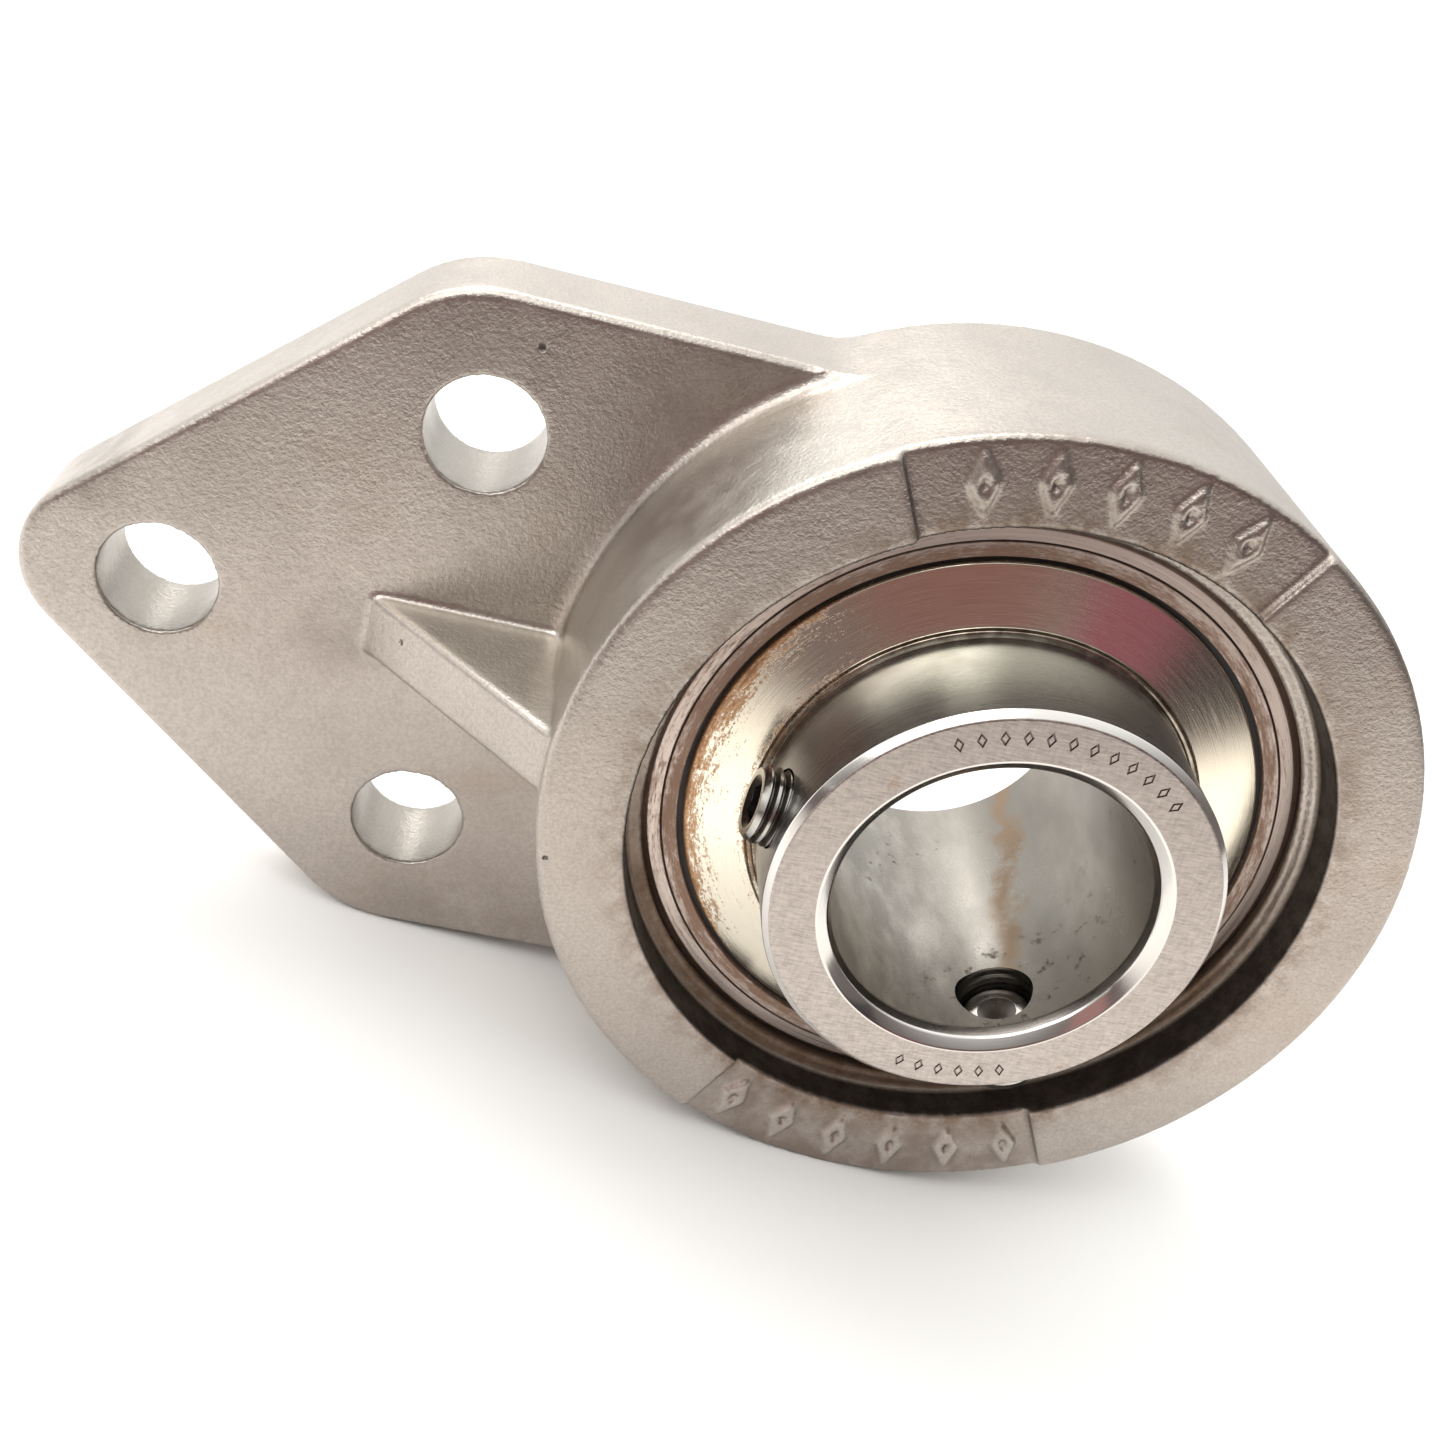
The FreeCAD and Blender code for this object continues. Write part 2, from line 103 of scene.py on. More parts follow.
class Nodes:
    """Short calls for building one material's node tree."""

    def __init__(self, name):
        self.material = bpy.data.materials.new(name)
        self.material.use_nodes = True
        self.tree = self.material.node_tree
        self.shader = self.tree.nodes["Principled BSDF"]
        coordinates = self.tree.nodes.new("ShaderNodeTexCoord")
        self.place = coordinates.outputs["Object"]
        self.facing = coordinates.outputs["Normal"]

    def add(self, kind, inputs=None, **settings):
        node = self.tree.nodes.new(kind)
        for key, value in settings.items():
            setattr(node, key, value)
        for key, value in (inputs or {}).items():
            self.feed(node.inputs[key], value)
        return node

    def feed(self, socket, value):
        if isinstance(value, bpy.types.NodeSocket):
            self.tree.links.new(value, socket)
        else:
            socket.default_value = value

    def math(self, operation, a, b=0.0, clamp=False):
        node = self.add("ShaderNodeMath", {0: a, 1: b}, operation=operation, use_clamp=clamp)
        return node.outputs[0]

    def times(self, *factors, clamp=False):
        """Product of values or masks."""
        product = factors[0]
        for factor in factors[1:]:
            product = self.math("MULTIPLY", product, factor, clamp)
        return product

    def plus(self, *values):
        """Sum of values."""
        total = values[0]
        for value in values[1:]:
            total = self.math("ADD", total, value)
        return total

    def most(self, *masks):
        """The largest of several masks."""
        largest = masks[0]
        for mask in masks[1:]:
            largest = self.math("MAXIMUM", largest, mask)
        return largest

    def stretch(self, scale, place=None):
        """Object coordinates multiplied by a scale for each axis."""
        node = self.add("ShaderNodeVectorMath", {0: place or self.place, 1: scale}, operation="MULTIPLY")
        return node.outputs[0]

    def noise(self, scale, detail=4.0, roughness=0.55, place=None):
        """Noise of the given number of features per metre."""
        inputs = {"Vector": place or self.place, "Scale": scale, "Detail": detail, "Roughness": roughness}
        return self.add("ShaderNodeTexNoise", inputs).outputs["Fac"]

    def noise_colour(self, scale):
        """Noise that differs along the three axes, for warping coordinates."""
        inputs = {"Vector": self.place, "Scale": scale, "Detail": 1.0}
        return self.add("ShaderNodeTexNoise", inputs).outputs["Color"]

    def span(self, value, low, high, out_low=0.0, out_high=1.0, smooth=False):
        """Value mapped from low..high to out_low..out_high, and held there."""
        inputs = {"Value": value, "From Min": low, "From Max": high, "To Min": out_low, "To Max": out_high}
        kind = "SMOOTHSTEP" if smooth else "LINEAR"
        return self.add("ShaderNodeMapRange", inputs, interpolation_type=kind, clamp=True).outputs["Result"]

    def mix(self, share, a, b):
        """Colours a and b mixed."""
        node = self.add("ShaderNodeMix", data_type="RGBA")
        for index, value in ((0, share), (6, a), (7, b)):
            self.feed(node.inputs[index], value)
        return node.outputs[2]

    def tint(self, colour, mask, share, tone):
        """The colour moved towards a tone where the mask is, by at most the share."""
        return self.mix(self.times(mask, share), colour, rgb(*tone))

    def polar(self):
        """Radius, angle from +X towards +Z, and y, round the shaft, in millimetres and radians."""
        parts = self.add("ShaderNodeSeparateXYZ", {0: self.place}).outputs
        square = self.plus(self.times(parts[0], parts[0]), self.times(parts[2], parts[2]))
        radius = self.times(self.math("SQRT", square), 1 / MM)
        angle = self.math("ARCTAN2", parts[2], parts[0])
        return radius, angle, self.times(parts[1], 1 / MM)

    def blot(self, x, z, inner, outer):
        """Round mark seen along the shaft axis, solid to the inner radius and gone at the outer one."""
        inputs = {0: self.stretch((1 / MM, 0.0, 1 / MM)), 1: (x, 0.0, z)}
        away = self.add("ShaderNodeVectorMath", inputs, operation="DISTANCE").outputs["Value"]
        return self.span(away, outer, inner, smooth=True)

    def wound(self, radius, angle, y, around=1.0):
        """Coordinates that follow the shaft axis: radius, angle and y, for marks that run round it."""
        inputs = {0: radius, 1: self.times(angle, around), 2: y}
        return self.add("ShaderNodeCombineXYZ", inputs).outputs[0]

    def bump(self, height, depth, strength=1.0, normal=None):
        """Bump of the given depth in metres, on top of another bump's normal."""
        inputs = {"Strength": strength, "Distance": depth, "Height": height}
        if normal is not None:
            inputs["Normal"] = normal
        return self.add("ShaderNodeBump", inputs).outputs["Normal"]

    def finish(self, colour, roughness, normal=None, metallic=1.0):
        self.feed(self.shader.inputs["Base Color"], colour)
        self.feed(self.shader.inputs["Roughness"], roughness)
        self.feed(self.shader.inputs["Metallic"], metallic)
        if normal is not None:
            self.feed(self.shader.inputs["Normal"], normal)
        return self.material


def rgb(red, green, blue):
    return (red, green, blue, 1.0)


# ---- Materials -------------------------------------------------------------------------------------


def cast_tone(n):
    """Beige-grey with a speckled, cloudy tone."""
    clouds = n.span(n.noise(38, 5, 0.6), 0.3, 0.7)
    speckle = n.span(n.noise(2700, 4, 0.7), 0.40, 0.62)
    colour = n.mix(clouds, rgb(0.42, 0.377, 0.344), rgb(0.545, 0.492, 0.45))
    colour = n.tint(colour, speckle, 0.42, (0.29, 0.25, 0.22))
    patches = n.span(n.noise(16, 3, 0.5), 0.48, 0.66, smooth=True)
    colour = n.tint(colour, patches, 0.28, (0.37, 0.305, 0.27))
    drifts = n.span(n.noise(55, 6, 0.65), 0.56, 0.70)
    return n.tint(colour, drifts, 0.30, (0.32, 0.24, 0.17))


def smudges_and_shade(n):
    """Smudges at the flange's tip and the rib's toe, and painted shade on the flange's lower edge and the right of
    the boss face.
    """
    # The blots at the flange's lower edge and the right of the boss face are painted shade; the tip and the rib's
    # toe are smudges.
    marks = n.most(n.blot(-95, 10, 1.5, 5.5), n.times(n.blot(-67.5, -2, 1.0, 8.0), 0.8),
                   n.times(n.blot(-50, -42, 5, 21), 0.8), n.times(n.blot(31, -27, 5, 22), 0.4))
    return n.times(marks, n.span(n.noise(260, 5, 0.7), 0.35, 0.6, 0.3, 1.0))


def opening_stain_and_shade(n, radius, angle, y):
    """Masks round the opening: brown stain, painted shade that makes the counterbore wall and the seat near-black,
    and dirt with painted shade on the cartouches' floors.
    """
    ragged = n.span(n.noise(420, 6, 0.7), 0.40, 0.60)
    height = n.math("SINE", angle)
    in_cartouche = n.span(n.math("ABSOLUTE", height), 0.80, 0.93)

    near_front = n.span(y, boss_front_y + 2.6, boss_front_y + 0.3)
    rim = n.times(n.span(radius, opening_r + 4.6, opening_r - 0.1, smooth=True), near_front)
    stain = n.times(rim, ragged, n.span(in_cartouche, 0, 1, 0.45, 1.0))
    on_shelf = n.times(n.span(radius, opening_r - 0.1, opening_r - 0.3), n.span(height, 0.3, -0.4))
    stain = n.most(stain, n.times(on_shelf, n.span(ragged, 0, 1, 0.75, 1.0)))

    # Painted shade: the counterbore wall and the seat deep in the opening turn near-black.
    on_wall = n.times(n.span(radius, opening_r + 0.3, opening_r + 0.05), n.span(y, -11.0, -11.6))
    in_seat = n.span(radius, opening_r - 1.7, opening_r - 2.1)
    dark = n.times(n.most(on_wall, in_seat), n.span(ragged, 0, 1, 0.9, 1.0))

    # Cartouche floors: dirt and painted shade in the recess, strongest on the lower cartouche.
    sunk = n.times(n.span(y, boss_front_y + 0.45, boss_front_y + 0.85), n.span(y, -13.0, -14.5))
    grime_and_shade = n.times(sunk, in_cartouche, n.span(n.noise(300, 5), 0.3, 0.6, 0.15, 0.6))
    grime_and_shade = n.times(grime_and_shade, n.span(height, 0.2, -0.2, 0.6, 1.5), clamp=True)
    return stain, dark, grime_and_shade, in_cartouche


def cast_pits(n):
    """A few dark pits: scattered ones, one on the flange and one on the boss."""
    spots = n.add("ShaderNodeTexVoronoi", {"Vector": n.place, "Scale": 95.0, "Randomness": 1.0})
    scattered = n.times(n.span(spots.outputs["Distance"], 0.050, 0.02), n.span(n.noise(60, 2), 0.54, 0.60))
    return n.most(scattered, n.blot(-53.7, 34.3, 0.25, 0.55), n.blot(-43, -10.1, 0.12, 0.36))


def cast_skin(n, pit):
    """Bumps: dimples, a bead-blasted pebble grain, fine tooth, and the pits."""
    shift = n.stretch((0.0004, 0.0004, 0.0004), n.noise_colour(1500))
    warp = n.add("ShaderNodeVectorMath", {0: n.place, 1: shift}, operation="ADD")
    pebbles = n.add("ShaderNodeTexVoronoi", {"Vector": warp.outputs[0], "Scale": 2100.0}).outputs["Distance"]
    normal = n.bump(n.noise(1300, 3, 0.5), 0.00006, 0.7)
    normal = n.bump(pebbles, -0.000021, 1.0, normal)
    normal = n.bump(n.noise(5200, 3, 0.6), 0.00004, 0.7, normal)
    return n.bump(n.times(pit, -1.0), 0.0004, 1.0, normal)


def cast_steel():
    """Bead-blasted stainless casting with pits, smudges and brown stains by the opening, painted shade in the
    opening, its cartouches and bolt holes and low on its front, and painted light on the boss's left wall.
    """
    n = Nodes("cast_stainless")
    radius, angle, y = n.polar()
    # Smudges, and painted shade low on the flange and on the right of the boss face.
    colour = n.tint(cast_tone(n), smudges_and_shade(n), 0.65, (0.25, 0.215, 0.19))
    stain, dark, grime_and_shade, in_cartouche = opening_stain_and_shade(n, radius, angle, y)
    # Cartouche floors darkened by dirt and painted shade.
    colour = n.mix(grime_and_shade, colour, rgb(0.25, 0.20, 0.17))
    colour = n.tint(colour, stain, 0.85, (0.18, 0.11, 0.06))
    # Painted shade: near-black wall and seat inside the opening.
    colour = n.tint(colour, dark, 0.95, (0.035, 0.03, 0.027))

    # Walls, where the normal lies across the shaft: painted light makes them paler beside the flange, painted
    # shade makes them darker round the cartouches.
    along = n.math("ABSOLUTE", n.add("ShaderNodeSeparateXYZ", {0: n.facing}).outputs[1])
    painted_light_side = n.times(n.span(along, 0.4, 0.15), n.span(radius, boss_r - 0.6, boss_r - 0.2),
                        n.span(y, flange_front_y - 0.2, flange_front_y - 1.2),
                        n.span(n.math("COSINE", angle), -0.45, -0.8))
    colour = n.tint(colour, painted_light_side, 0.7, (0.72, 0.70, 0.645))
    # Painted shade: dark cartouche walls and dark outlines on the raised marks' sides.
    painted_shade_step = n.times(n.span(along, 0.8, 0.45), n.span(y, boss_front_y + 0.96, boss_front_y + 0.9),
                        n.span(radius, opening_r + 0.2, opening_r + 0.5),
                        n.span(radius, boss_r - 0.2, boss_r - 0.5), in_cartouche)
    colour = n.tint(colour, painted_shade_step, 0.65, (0.17, 0.13, 0.11))

    # Painted shade: darker inside and round the bolt holes.
    hole_shade = n.most(*[n.blot(hole.x, hole.z, hole_r + 0.05, hole_r + 0.35) for hole in bolt_holes])
    colour = n.tint(colour, hole_shade, 0.55, (0.30, 0.285, 0.26))
    pit = cast_pits(n)
    colour = n.tint(colour, pit, 0.9, (0.10, 0.08, 0.07))

    rough = n.span(n.noise(300, 4), 0.3, 0.7, 0.29, 0.40)
    rough = n.plus(rough, n.times(n.most(stain, dark), 0.25))
    return n.finish(colour, rough, cast_skin(n, pit))


def machined_back():
    """Milled mounting face: sweeping tool marks over the cast metal."""
    n = Nodes("machined_face")
    inputs = {"Vector": n.stretch((1.0, 1.0, 0.22)), "Scale": 320.0, "Distortion": 1.2,
              "Detail": 3.0, "Detail Scale": 4.0}
    sweep = n.add("ShaderNodeTexWave", inputs, wave_type="RINGS", rings_direction="SPHERICAL")
    lines = sweep.outputs["Fac"]
    clouds = n.noise(45, 4)
    colour = n.mix(n.span(clouds, 0.3, 0.7), rgb(0.42, 0.395, 0.37), rgb(0.54, 0.515, 0.49))
    smear = n.span(n.noise(30, 5, 0.7), 0.56, 0.72)
    colour = n.tint(colour, smear, 0.45, (0.26, 0.20, 0.155))
    rough = n.span(n.noise(240, 4), 0.3, 0.7, 0.26, 0.40)
    normal = n.bump(lines, 0.00003, 0.8, n.bump(n.noise(1800, 3), 0.00002, 0.5))
    return n.finish(colour, rough, normal)


def turned_ring():
    """Outer ring: fine turned face, pale pink-beige, with brown stains spreading from the seal."""
    n = Nodes("turned_ring")
    radius, angle, y = n.polar()
    wound = n.wound(radius, angle, y, 1.0)
    lines = n.noise(6.5, 4, 0.6, n.stretch((1.0, 0.30, 1.0), wound))
    colour = n.mix(n.span(lines, 0.3, 0.7), rgb(0.46, 0.38, 0.34), rgb(0.64, 0.55, 0.50))
    fine = n.noise(1.0, 6, 0.75, n.stretch((5.0, 26.0, 1.0), wound))
    broad = n.noise(1.0, 4, 0.6, n.stretch((0.9, 5.0, 1.0), wound))
    worn = n.plus(n.times(fine, 0.65), n.times(broad, 0.35))
    left = n.span(n.math("COSINE", angle), 0.3, -0.9)
    by_seal = n.span(radius, turned_line_r + 0.38, seal_groove_r - 0.2)
    reach = n.plus(n.times(by_seal, 0.15), n.times(left, 0.05))
    stain = n.span(n.plus(worn, reach), 0.54, 0.68)
    colour = n.tint(colour, stain, 0.85, (0.26, 0.145, 0.09))
    line = n.times(n.span(radius, turned_line_r - 0.22, turned_line_r - 0.07),
                   n.span(radius, turned_line_r + 0.18, turned_line_r + 0.03))
    colour = n.tint(colour, line, 0.6, (0.10, 0.07, 0.055))
    rough = n.plus(n.span(lines, 0.3, 0.7, 0.26, 0.36), n.times(stain, 0.25))
    normal = n.bump(lines, 0.000012, 0.8)
    return n.finish(colour, rough, normal, n.span(stain, 0, 1, 1.0, 0.6))


def ground_face():
    """Nose face: close, straight grinding lay, slightly woven."""
    n = Nodes("ground_face")
    lay = n.noise(1.0, 5, 0.65, n.stretch((700.0, 700.0, 5200.0)))
    cross = n.noise(1.0, 3, 0.6, n.stretch((3600.0, 3600.0, 900.0)))
    weave = n.plus(n.times(lay, 0.7), n.times(cross, 0.3))
    colour = n.mix(n.span(weave, 0.34, 0.66), rgb(0.31, 0.275, 0.255), rgb(0.58, 0.52, 0.485))
    spot = n.span(n.noise(210, 5, 0.7), 0.66, 0.74)
    colour = n.tint(colour, spot, 0.6, (0.36, 0.22, 0.14))
    rough = n.span(weave, 0.3, 0.7, 0.30, 0.44)
    return n.finish(colour, rough, n.bump(weave, 0.00002, 0.9))


def polished_edge():
    """Bright polished corners of the nose."""
    n = Nodes("polished_edge")
    radius, angle, y = n.polar()
    lines = n.noise(18, 3, 0.6, n.wound(radius, angle, y, 0.3))
    colour = n.mix(lines, rgb(0.60, 0.575, 0.555), rgb(0.74, 0.715, 0.69))
    rough = n.span(lines, 0.3, 0.7, 0.10, 0.18)
    return n.finish(colour, rough, n.bump(lines, 0.000004, 0.5))


def ground_outside():
    """Outside of the inner ring: ground mirror with fine lines round the shaft."""
    n = Nodes("ground_outside")
    radius, angle, y = n.polar()
    lines = n.noise(9, 4, 0.6, n.wound(radius, angle, y, 0.25))
    colour = n.mix(n.span(lines, 0.3, 0.7), rgb(0.38, 0.38, 0.38), rgb(0.54, 0.54, 0.535))
    film = n.span(n.noise(120, 5, 0.7), 0.5, 0.75)
    colour = n.tint(colour, film, 0.35, (0.30, 0.24, 0.19))
    rough = n.span(lines, 0.3, 0.7, 0.24, 0.34)
    rough = n.plus(rough, n.times(film, 0.08))
    return n.finish(colour, rough, n.bump(lines, 0.000006, 0.6))


def stained_and_shaded_bore():
    """Bore: honed steel with grey mottling, painted shade on its +X side, a brown run and rust flecks by the screw
    hole.
    """
    n = Nodes("stained_and_shaded_bore")
    radius, angle, y = n.polar()
    honed = n.noise(7, 4, 0.6, n.stretch((1.0, 9.0, 0.5), n.wound(radius, angle, y, 1.0)))
    mottle = n.span(n.noise(105, 6, 0.62, n.stretch((1.0, 0.4, 1.0))), 0.40, 0.62)
    colour = n.mix(n.span(honed, 0.3, 0.7), rgb(0.47, 0.435, 0.395), rgb(0.64, 0.60, 0.55))
    # Painted shade: the bore darkened towards its +X side.
    shaded_side = n.span(n.math("COSINE", angle), -0.5, 0.8, smooth=True)
    colour = n.tint(colour, shaded_side, 0.85, (0.18, 0.165, 0.145))
    colour = n.tint(colour, mottle, 0.7, (0.19, 0.175, 0.155))
    wander = n.times(n.math("SUBTRACT", n.noise(150, 4), 0.5), 0.42)
    drift = n.span(y, -20, tail_y, math.radians(-62), math.radians(-38))
    from_run = n.math("ABSOLUTE", n.math("SUBTRACT", n.plus(angle, wander), drift))
    run = n.times(n.span(from_run, 0.13, 0.03), n.span(n.noise(330, 5, 0.65), 0.34, 0.52))
    run = n.times(run, n.span(y, -19, -14))
    colour = n.tint(colour, run, 0.8, (0.27, 0.17, 0.09))
    flecks = n.span(n.noise(520, 5, 0.7), 0.58, 0.67)
    near_hole = n.times(n.span(from_run, 1.1, 0.25), n.span(y, -8, -16))
    near_hole = n.most(near_hole, n.span(n.noise(70, 3), 0.58, 0.68, 0, 0.8))
    fleck = n.times(flecks, near_hole)
    colour = n.tint(colour, fleck, 0.9, (0.10, 0.055, 0.035))
    rough = n.plus(n.span(mottle, 0, 1, 0.27, 0.40), n.times(fleck, 0.4))
    normal = n.bump(honed, 0.000008, 0.6)
    normal = n.bump(fleck, 0.00004, 0.8, normal)
    return n.finish(colour, rough, normal, n.span(n.most(run, fleck), 0, 1, 1.0, 0.4))


def polished_pressing():
    """Flinger: polished dish with scuffs round the shaft, warm tint, and rust streaks on the flange side."""
    n = Nodes("polished_pressing")
    radius, angle, y = n.polar()
    wound = n.wound(radius, angle, y, 1.0)
    scuffs = n.noise(5.0, 4, 0.65, n.stretch((1.6, 0.9, 0.0), wound))
    colour = n.mix(n.span(scuffs, 0.3, 0.7), rgb(0.80, 0.73, 0.60), rgb(0.93, 0.86, 0.73))
    streak = n.noise(1.0, 6, 0.72, n.stretch((2.4, 9.0, 1.0), wound))
    flecks = n.noise(1.0, 5, 0.75, n.stretch((4.0, 70.0, 1.0), wound))
    broad = n.noise(1.0, 4, 0.6, n.stretch((0.8, 5.0, 1.0), wound))
    worn = n.plus(n.times(streak, 0.4), n.times(broad, 0.2), n.times(flecks, 0.4))
    left = n.span(n.math("COSINE", angle), -0.55, -0.9, -0.3, 1.0)
    outward = n.times(n.span(radius, 26.9, 29.9), left)
    inward = n.times(n.span(radius, 25.2, 23.9), left)
    edge = n.span(radius, 29.5, 30.2)
    reach = n.plus(n.times(outward, 0.14), n.times(inward, 0.09), n.times(edge, 0.035),
                   n.span(n.math("COSINE", angle), -0.4, -0.75, -0.06, 0.0))
    wear = n.plus(worn, reach)
    rust = n.span(wear, 0.575, 0.625)
    dark = n.span(wear, 0.62, 0.70)
    colour = n.tint(colour, rust, 0.85, (0.62, 0.33, 0.15))
    colour = n.tint(colour, dark, 0.8, (0.24, 0.11, 0.05))
    collar = n.times(n.span(radius, 24.0, 23.8), n.span(n.noise(260, 5, 0.7), 0.35, 0.6, 0.35, 0.9))
    colour = n.mix(collar, colour, rgb(0.16, 0.12, 0.09))
    rough = n.span(scuffs, 0.3, 0.7, 0.10, 0.22)
    rough = n.plus(rough, n.times(rust, 0.25))
    normal = n.bump(scuffs, 0.000010, 0.7)
    normal = n.bump(rust, 0.00002, 0.6, normal)
    return n.finish(colour, rough, normal, n.span(dark, 0, 1, 1.0, 0.5))


def seal_rubber():
    """Seal lips and skins: black rubber, slightly dusty."""
    n = Nodes("seal_rubber")
    mottle = n.noise(260, 4)
    colour = n.mix(mottle, rgb(0.012, 0.012, 0.013), rgb(0.035, 0.033, 0.032))
    rough = n.span(mottle, 0.3, 0.7, 0.42, 0.6)
    return n.finish(colour, rough, n.bump(n.noise(2600, 3), 0.00002, 0.5), metallic=0.0)


def dark_screw():
    """Set screws: oiled steel with a little brown in the threads."""
    n = Nodes("dark_screw")
    film = n.noise(900, 3, 0.5)
    colour = n.mix(n.span(film, 0.3, 0.7), rgb(0.44, 0.42, 0.39), rgb(0.54, 0.52, 0.49))
    rust = n.span(n.noise(620, 5, 0.7), 0.60, 0.70)
    colour = n.tint(colour, rust, 0.4, (0.20, 0.12, 0.07))
    rough = n.span(film, 0.3, 0.7, 0.17, 0.25)
    return n.finish(colour, rough, n.bump(film, 0.000003, 0.4))


def plain_steel(name, dark, light, rough_low, rough_high, scale=500):
    """Unseen or small steel pieces, by their tone and polish."""
    n = Nodes(name)
    film = n.noise(scale, 4, 0.6)
    colour = n.mix(n.span(film, 0.3, 0.7), rgb(*dark), rgb(*light))
    rough = n.span(film, 0.3, 0.7, rough_low, rough_high)
    return n.finish(colour, rough, n.bump(film, 0.000008, 0.6))


finishes = {
    "cast": cast_steel(),
    "machined": machined_back(),
    "turned": turned_ring(),
    "ground_face": ground_face(),
    "polished_edge": polished_edge(),
    "ground_outside": ground_outside(),
    "bore": stained_and_shaded_bore(),
    "flinger": polished_pressing(),
    "rubber": seal_rubber(),
    "screw": dark_screw(),
    # Painted shade: dark steel for the threads' grooves, the tapped holes, and the screws' sockets and cup points.
    "groove": plain_steel("shaded_groove", (0.11, 0.10, 0.09), (0.20, 0.185, 0.17), 0.25, 0.38),
    "engraved": plain_steel("engraved_floor", (0.16, 0.13, 0.115), (0.27, 0.23, 0.21), 0.35, 0.5),
    "race": plain_steel("polished_race", (0.70, 0.69, 0.67), (0.80, 0.79, 0.77), 0.06, 0.12),
    "ball": plain_steel("polished_ball", (0.78, 0.78, 0.78), (0.86, 0.86, 0.86), 0.04, 0.08),
    "pressed": plain_steel("pressed_sheet", (0.52, 0.51, 0.49), (0.66, 0.65, 0.63), 0.22, 0.34),
    "nipple": plain_steel("turned_nipple", (0.58, 0.57, 0.54), (0.72, 0.71, 0.68), 0.16, 0.28),
    "wire": plain_steel("drawn_wire", (0.50, 0.50, 0.49), (0.62, 0.62, 0.61), 0.18, 0.26),
}


# ---- Mesh helpers ----------------------------------------------------------------------------------


def rounded(corners, steps=5):
    """A closed outline with some corners rounded. Each corner is (radius, y, corner radius, finish)."""
    outline = []
    count = len(corners)
    for index, (r, y, fillet, finish) in enumerate(corners):
        here = np.array((r, y))
        before = np.array(corners[index - 1][:2]) - here
        after = np.array(corners[(index + 1) % count][:2]) - here
        before_length, after_length = np.linalg.norm(before), np.linalg.norm(after)
        before, after = before / before_length, after / after_length
        half = math.acos(max(-1.0, min(1.0, float(before @ after)))) / 2
        reach = fillet / math.tan(half) if fillet else 0.0
        reach = min(reach, 0.48 * before_length, 0.48 * after_length)
        if reach < 1e-6:
            outline.append((r, y, finish))
            continue
        size = reach * math.tan(half)
        bisector = (before + after) / np.linalg.norm(before + after)
        centre = here + bisector * size / math.sin(half)
        start, end = here + before * reach - centre, here + after * reach - centre
        for step in range(steps + 1):
            share = step / steps
            arm = start * (1 - share) + end * share
            arm = arm / np.linalg.norm(arm) * size
            point = centre + arm
            outline.append((float(point[0]), float(point[1]), finish))
    return outline


def mesh_object(name, vertices, faces, finish_names, face_finishes, smooth_deg=32):
    """A new object from millimetre vertices, one material slot for each finish."""
    mesh = bpy.data.meshes.new(name)
    mesh.from_pydata([Vector(v) * MM for v in vertices], [], faces)
    piece = bpy.data.objects.new(name, mesh)
    bpy.context.scene.collection.objects.link(piece)
    for finish in finish_names:
        mesh.materials.append(finishes[finish])
    mesh.polygons.foreach_set("material_index", [finish_names.index(f) for f in face_finishes])
    mesh.polygons.foreach_set("use_smooth", [True] * len(mesh.polygons))
    mesh.set_sharp_from_angle(angle=math.radians(smooth_deg))
    mesh.update()
    return piece


def lathe(name, corners, segments, steps=5):
    """A ring turned about the shaft axis from its cross-section, listed anticlockwise in (radius, y)."""
    outline = rounded(corners, steps)
    count = len(outline)
    vertices, faces, face_finishes = [], [], []
    for segment in range(segments):
        angle = 2 * math.pi * segment / segments
        vertices += [(r * math.cos(angle), y, r * math.sin(angle)) for r, y, _ in outline]
    for segment in range(segments):
        here, following = segment * count, (segment + 1) % segments * count
        for index in range(count):
            after = (index + 1) % count
            faces.append((here + index, here + after, following + after, following + index))
            face_finishes.append(outline[index][2])
    names = sorted(set(face_finishes))
    piece = mesh_object(name, vertices, faces, names, face_finishes)
    outwards(piece)
    return piece


def outwards(piece):
    """Face normals turned to the outside of a closed mesh."""
    shape = bmesh.new()
    shape.from_mesh(piece.data)
    bmesh.ops.recalc_face_normals(shape, faces=shape.faces)
    if shape.calc_volume(signed=True) < 0:
        bmesh.ops.reverse_faces(shape, faces=shape.faces)
    shape.to_mesh(piece.data)
    shape.free()


def settled(piece):
    """The object with its modifiers applied to its mesh."""
    graph = bpy.context.evaluated_depsgraph_get()
    mesh = bpy.data.meshes.new_from_object(piece.evaluated_get(graph), depsgraph=graph)
    piece.modifiers.clear()
    piece.data = mesh
    return piece


def cut_away(piece, tools, operation="DIFFERENCE"):
    """The piece with closed tool shapes cut out of it, or with only the shared part kept."""
    for tool in tools:
        cut = piece.modifiers.new("cut", "BOOLEAN")
        cut.operation = operation
        cut.solver = "EXACT"
        cut.material_mode = "TRANSFER"
        cut.object = tool
        settled(piece)
        bpy.data.objects.remove(tool)
    return piece


def shaded(piece, smooth_deg=32):
    """Smooth shading that keeps real corners sharp and flat faces flat."""
    piece.data.polygons.foreach_set("use_smooth", [True] * len(piece.data.polygons))
    piece.data.set_sharp_from_angle(angle=math.radians(smooth_deg))
    weighted = piece.modifiers.new("weighted", "WEIGHTED_NORMAL")
    weighted.keep_sharp = True
    return settled(piece)


def towards(direction, y):
    """Placement at y on the shaft that turns a shape built along +Y to point along a direction."""
    turn = SHAFT.rotation_difference(Vector(direction)).to_matrix().to_4x4()
    return Matrix.Translation(Vector((0, y * MM, 0))) @ turn


def stand_in(piece, body, node):
    """The finished piece rides on its body in place of its CAD node."""
    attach(piece, body)
    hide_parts(node)
    return piece


# ---- Housing ---------------------------------------------------------------------------------------


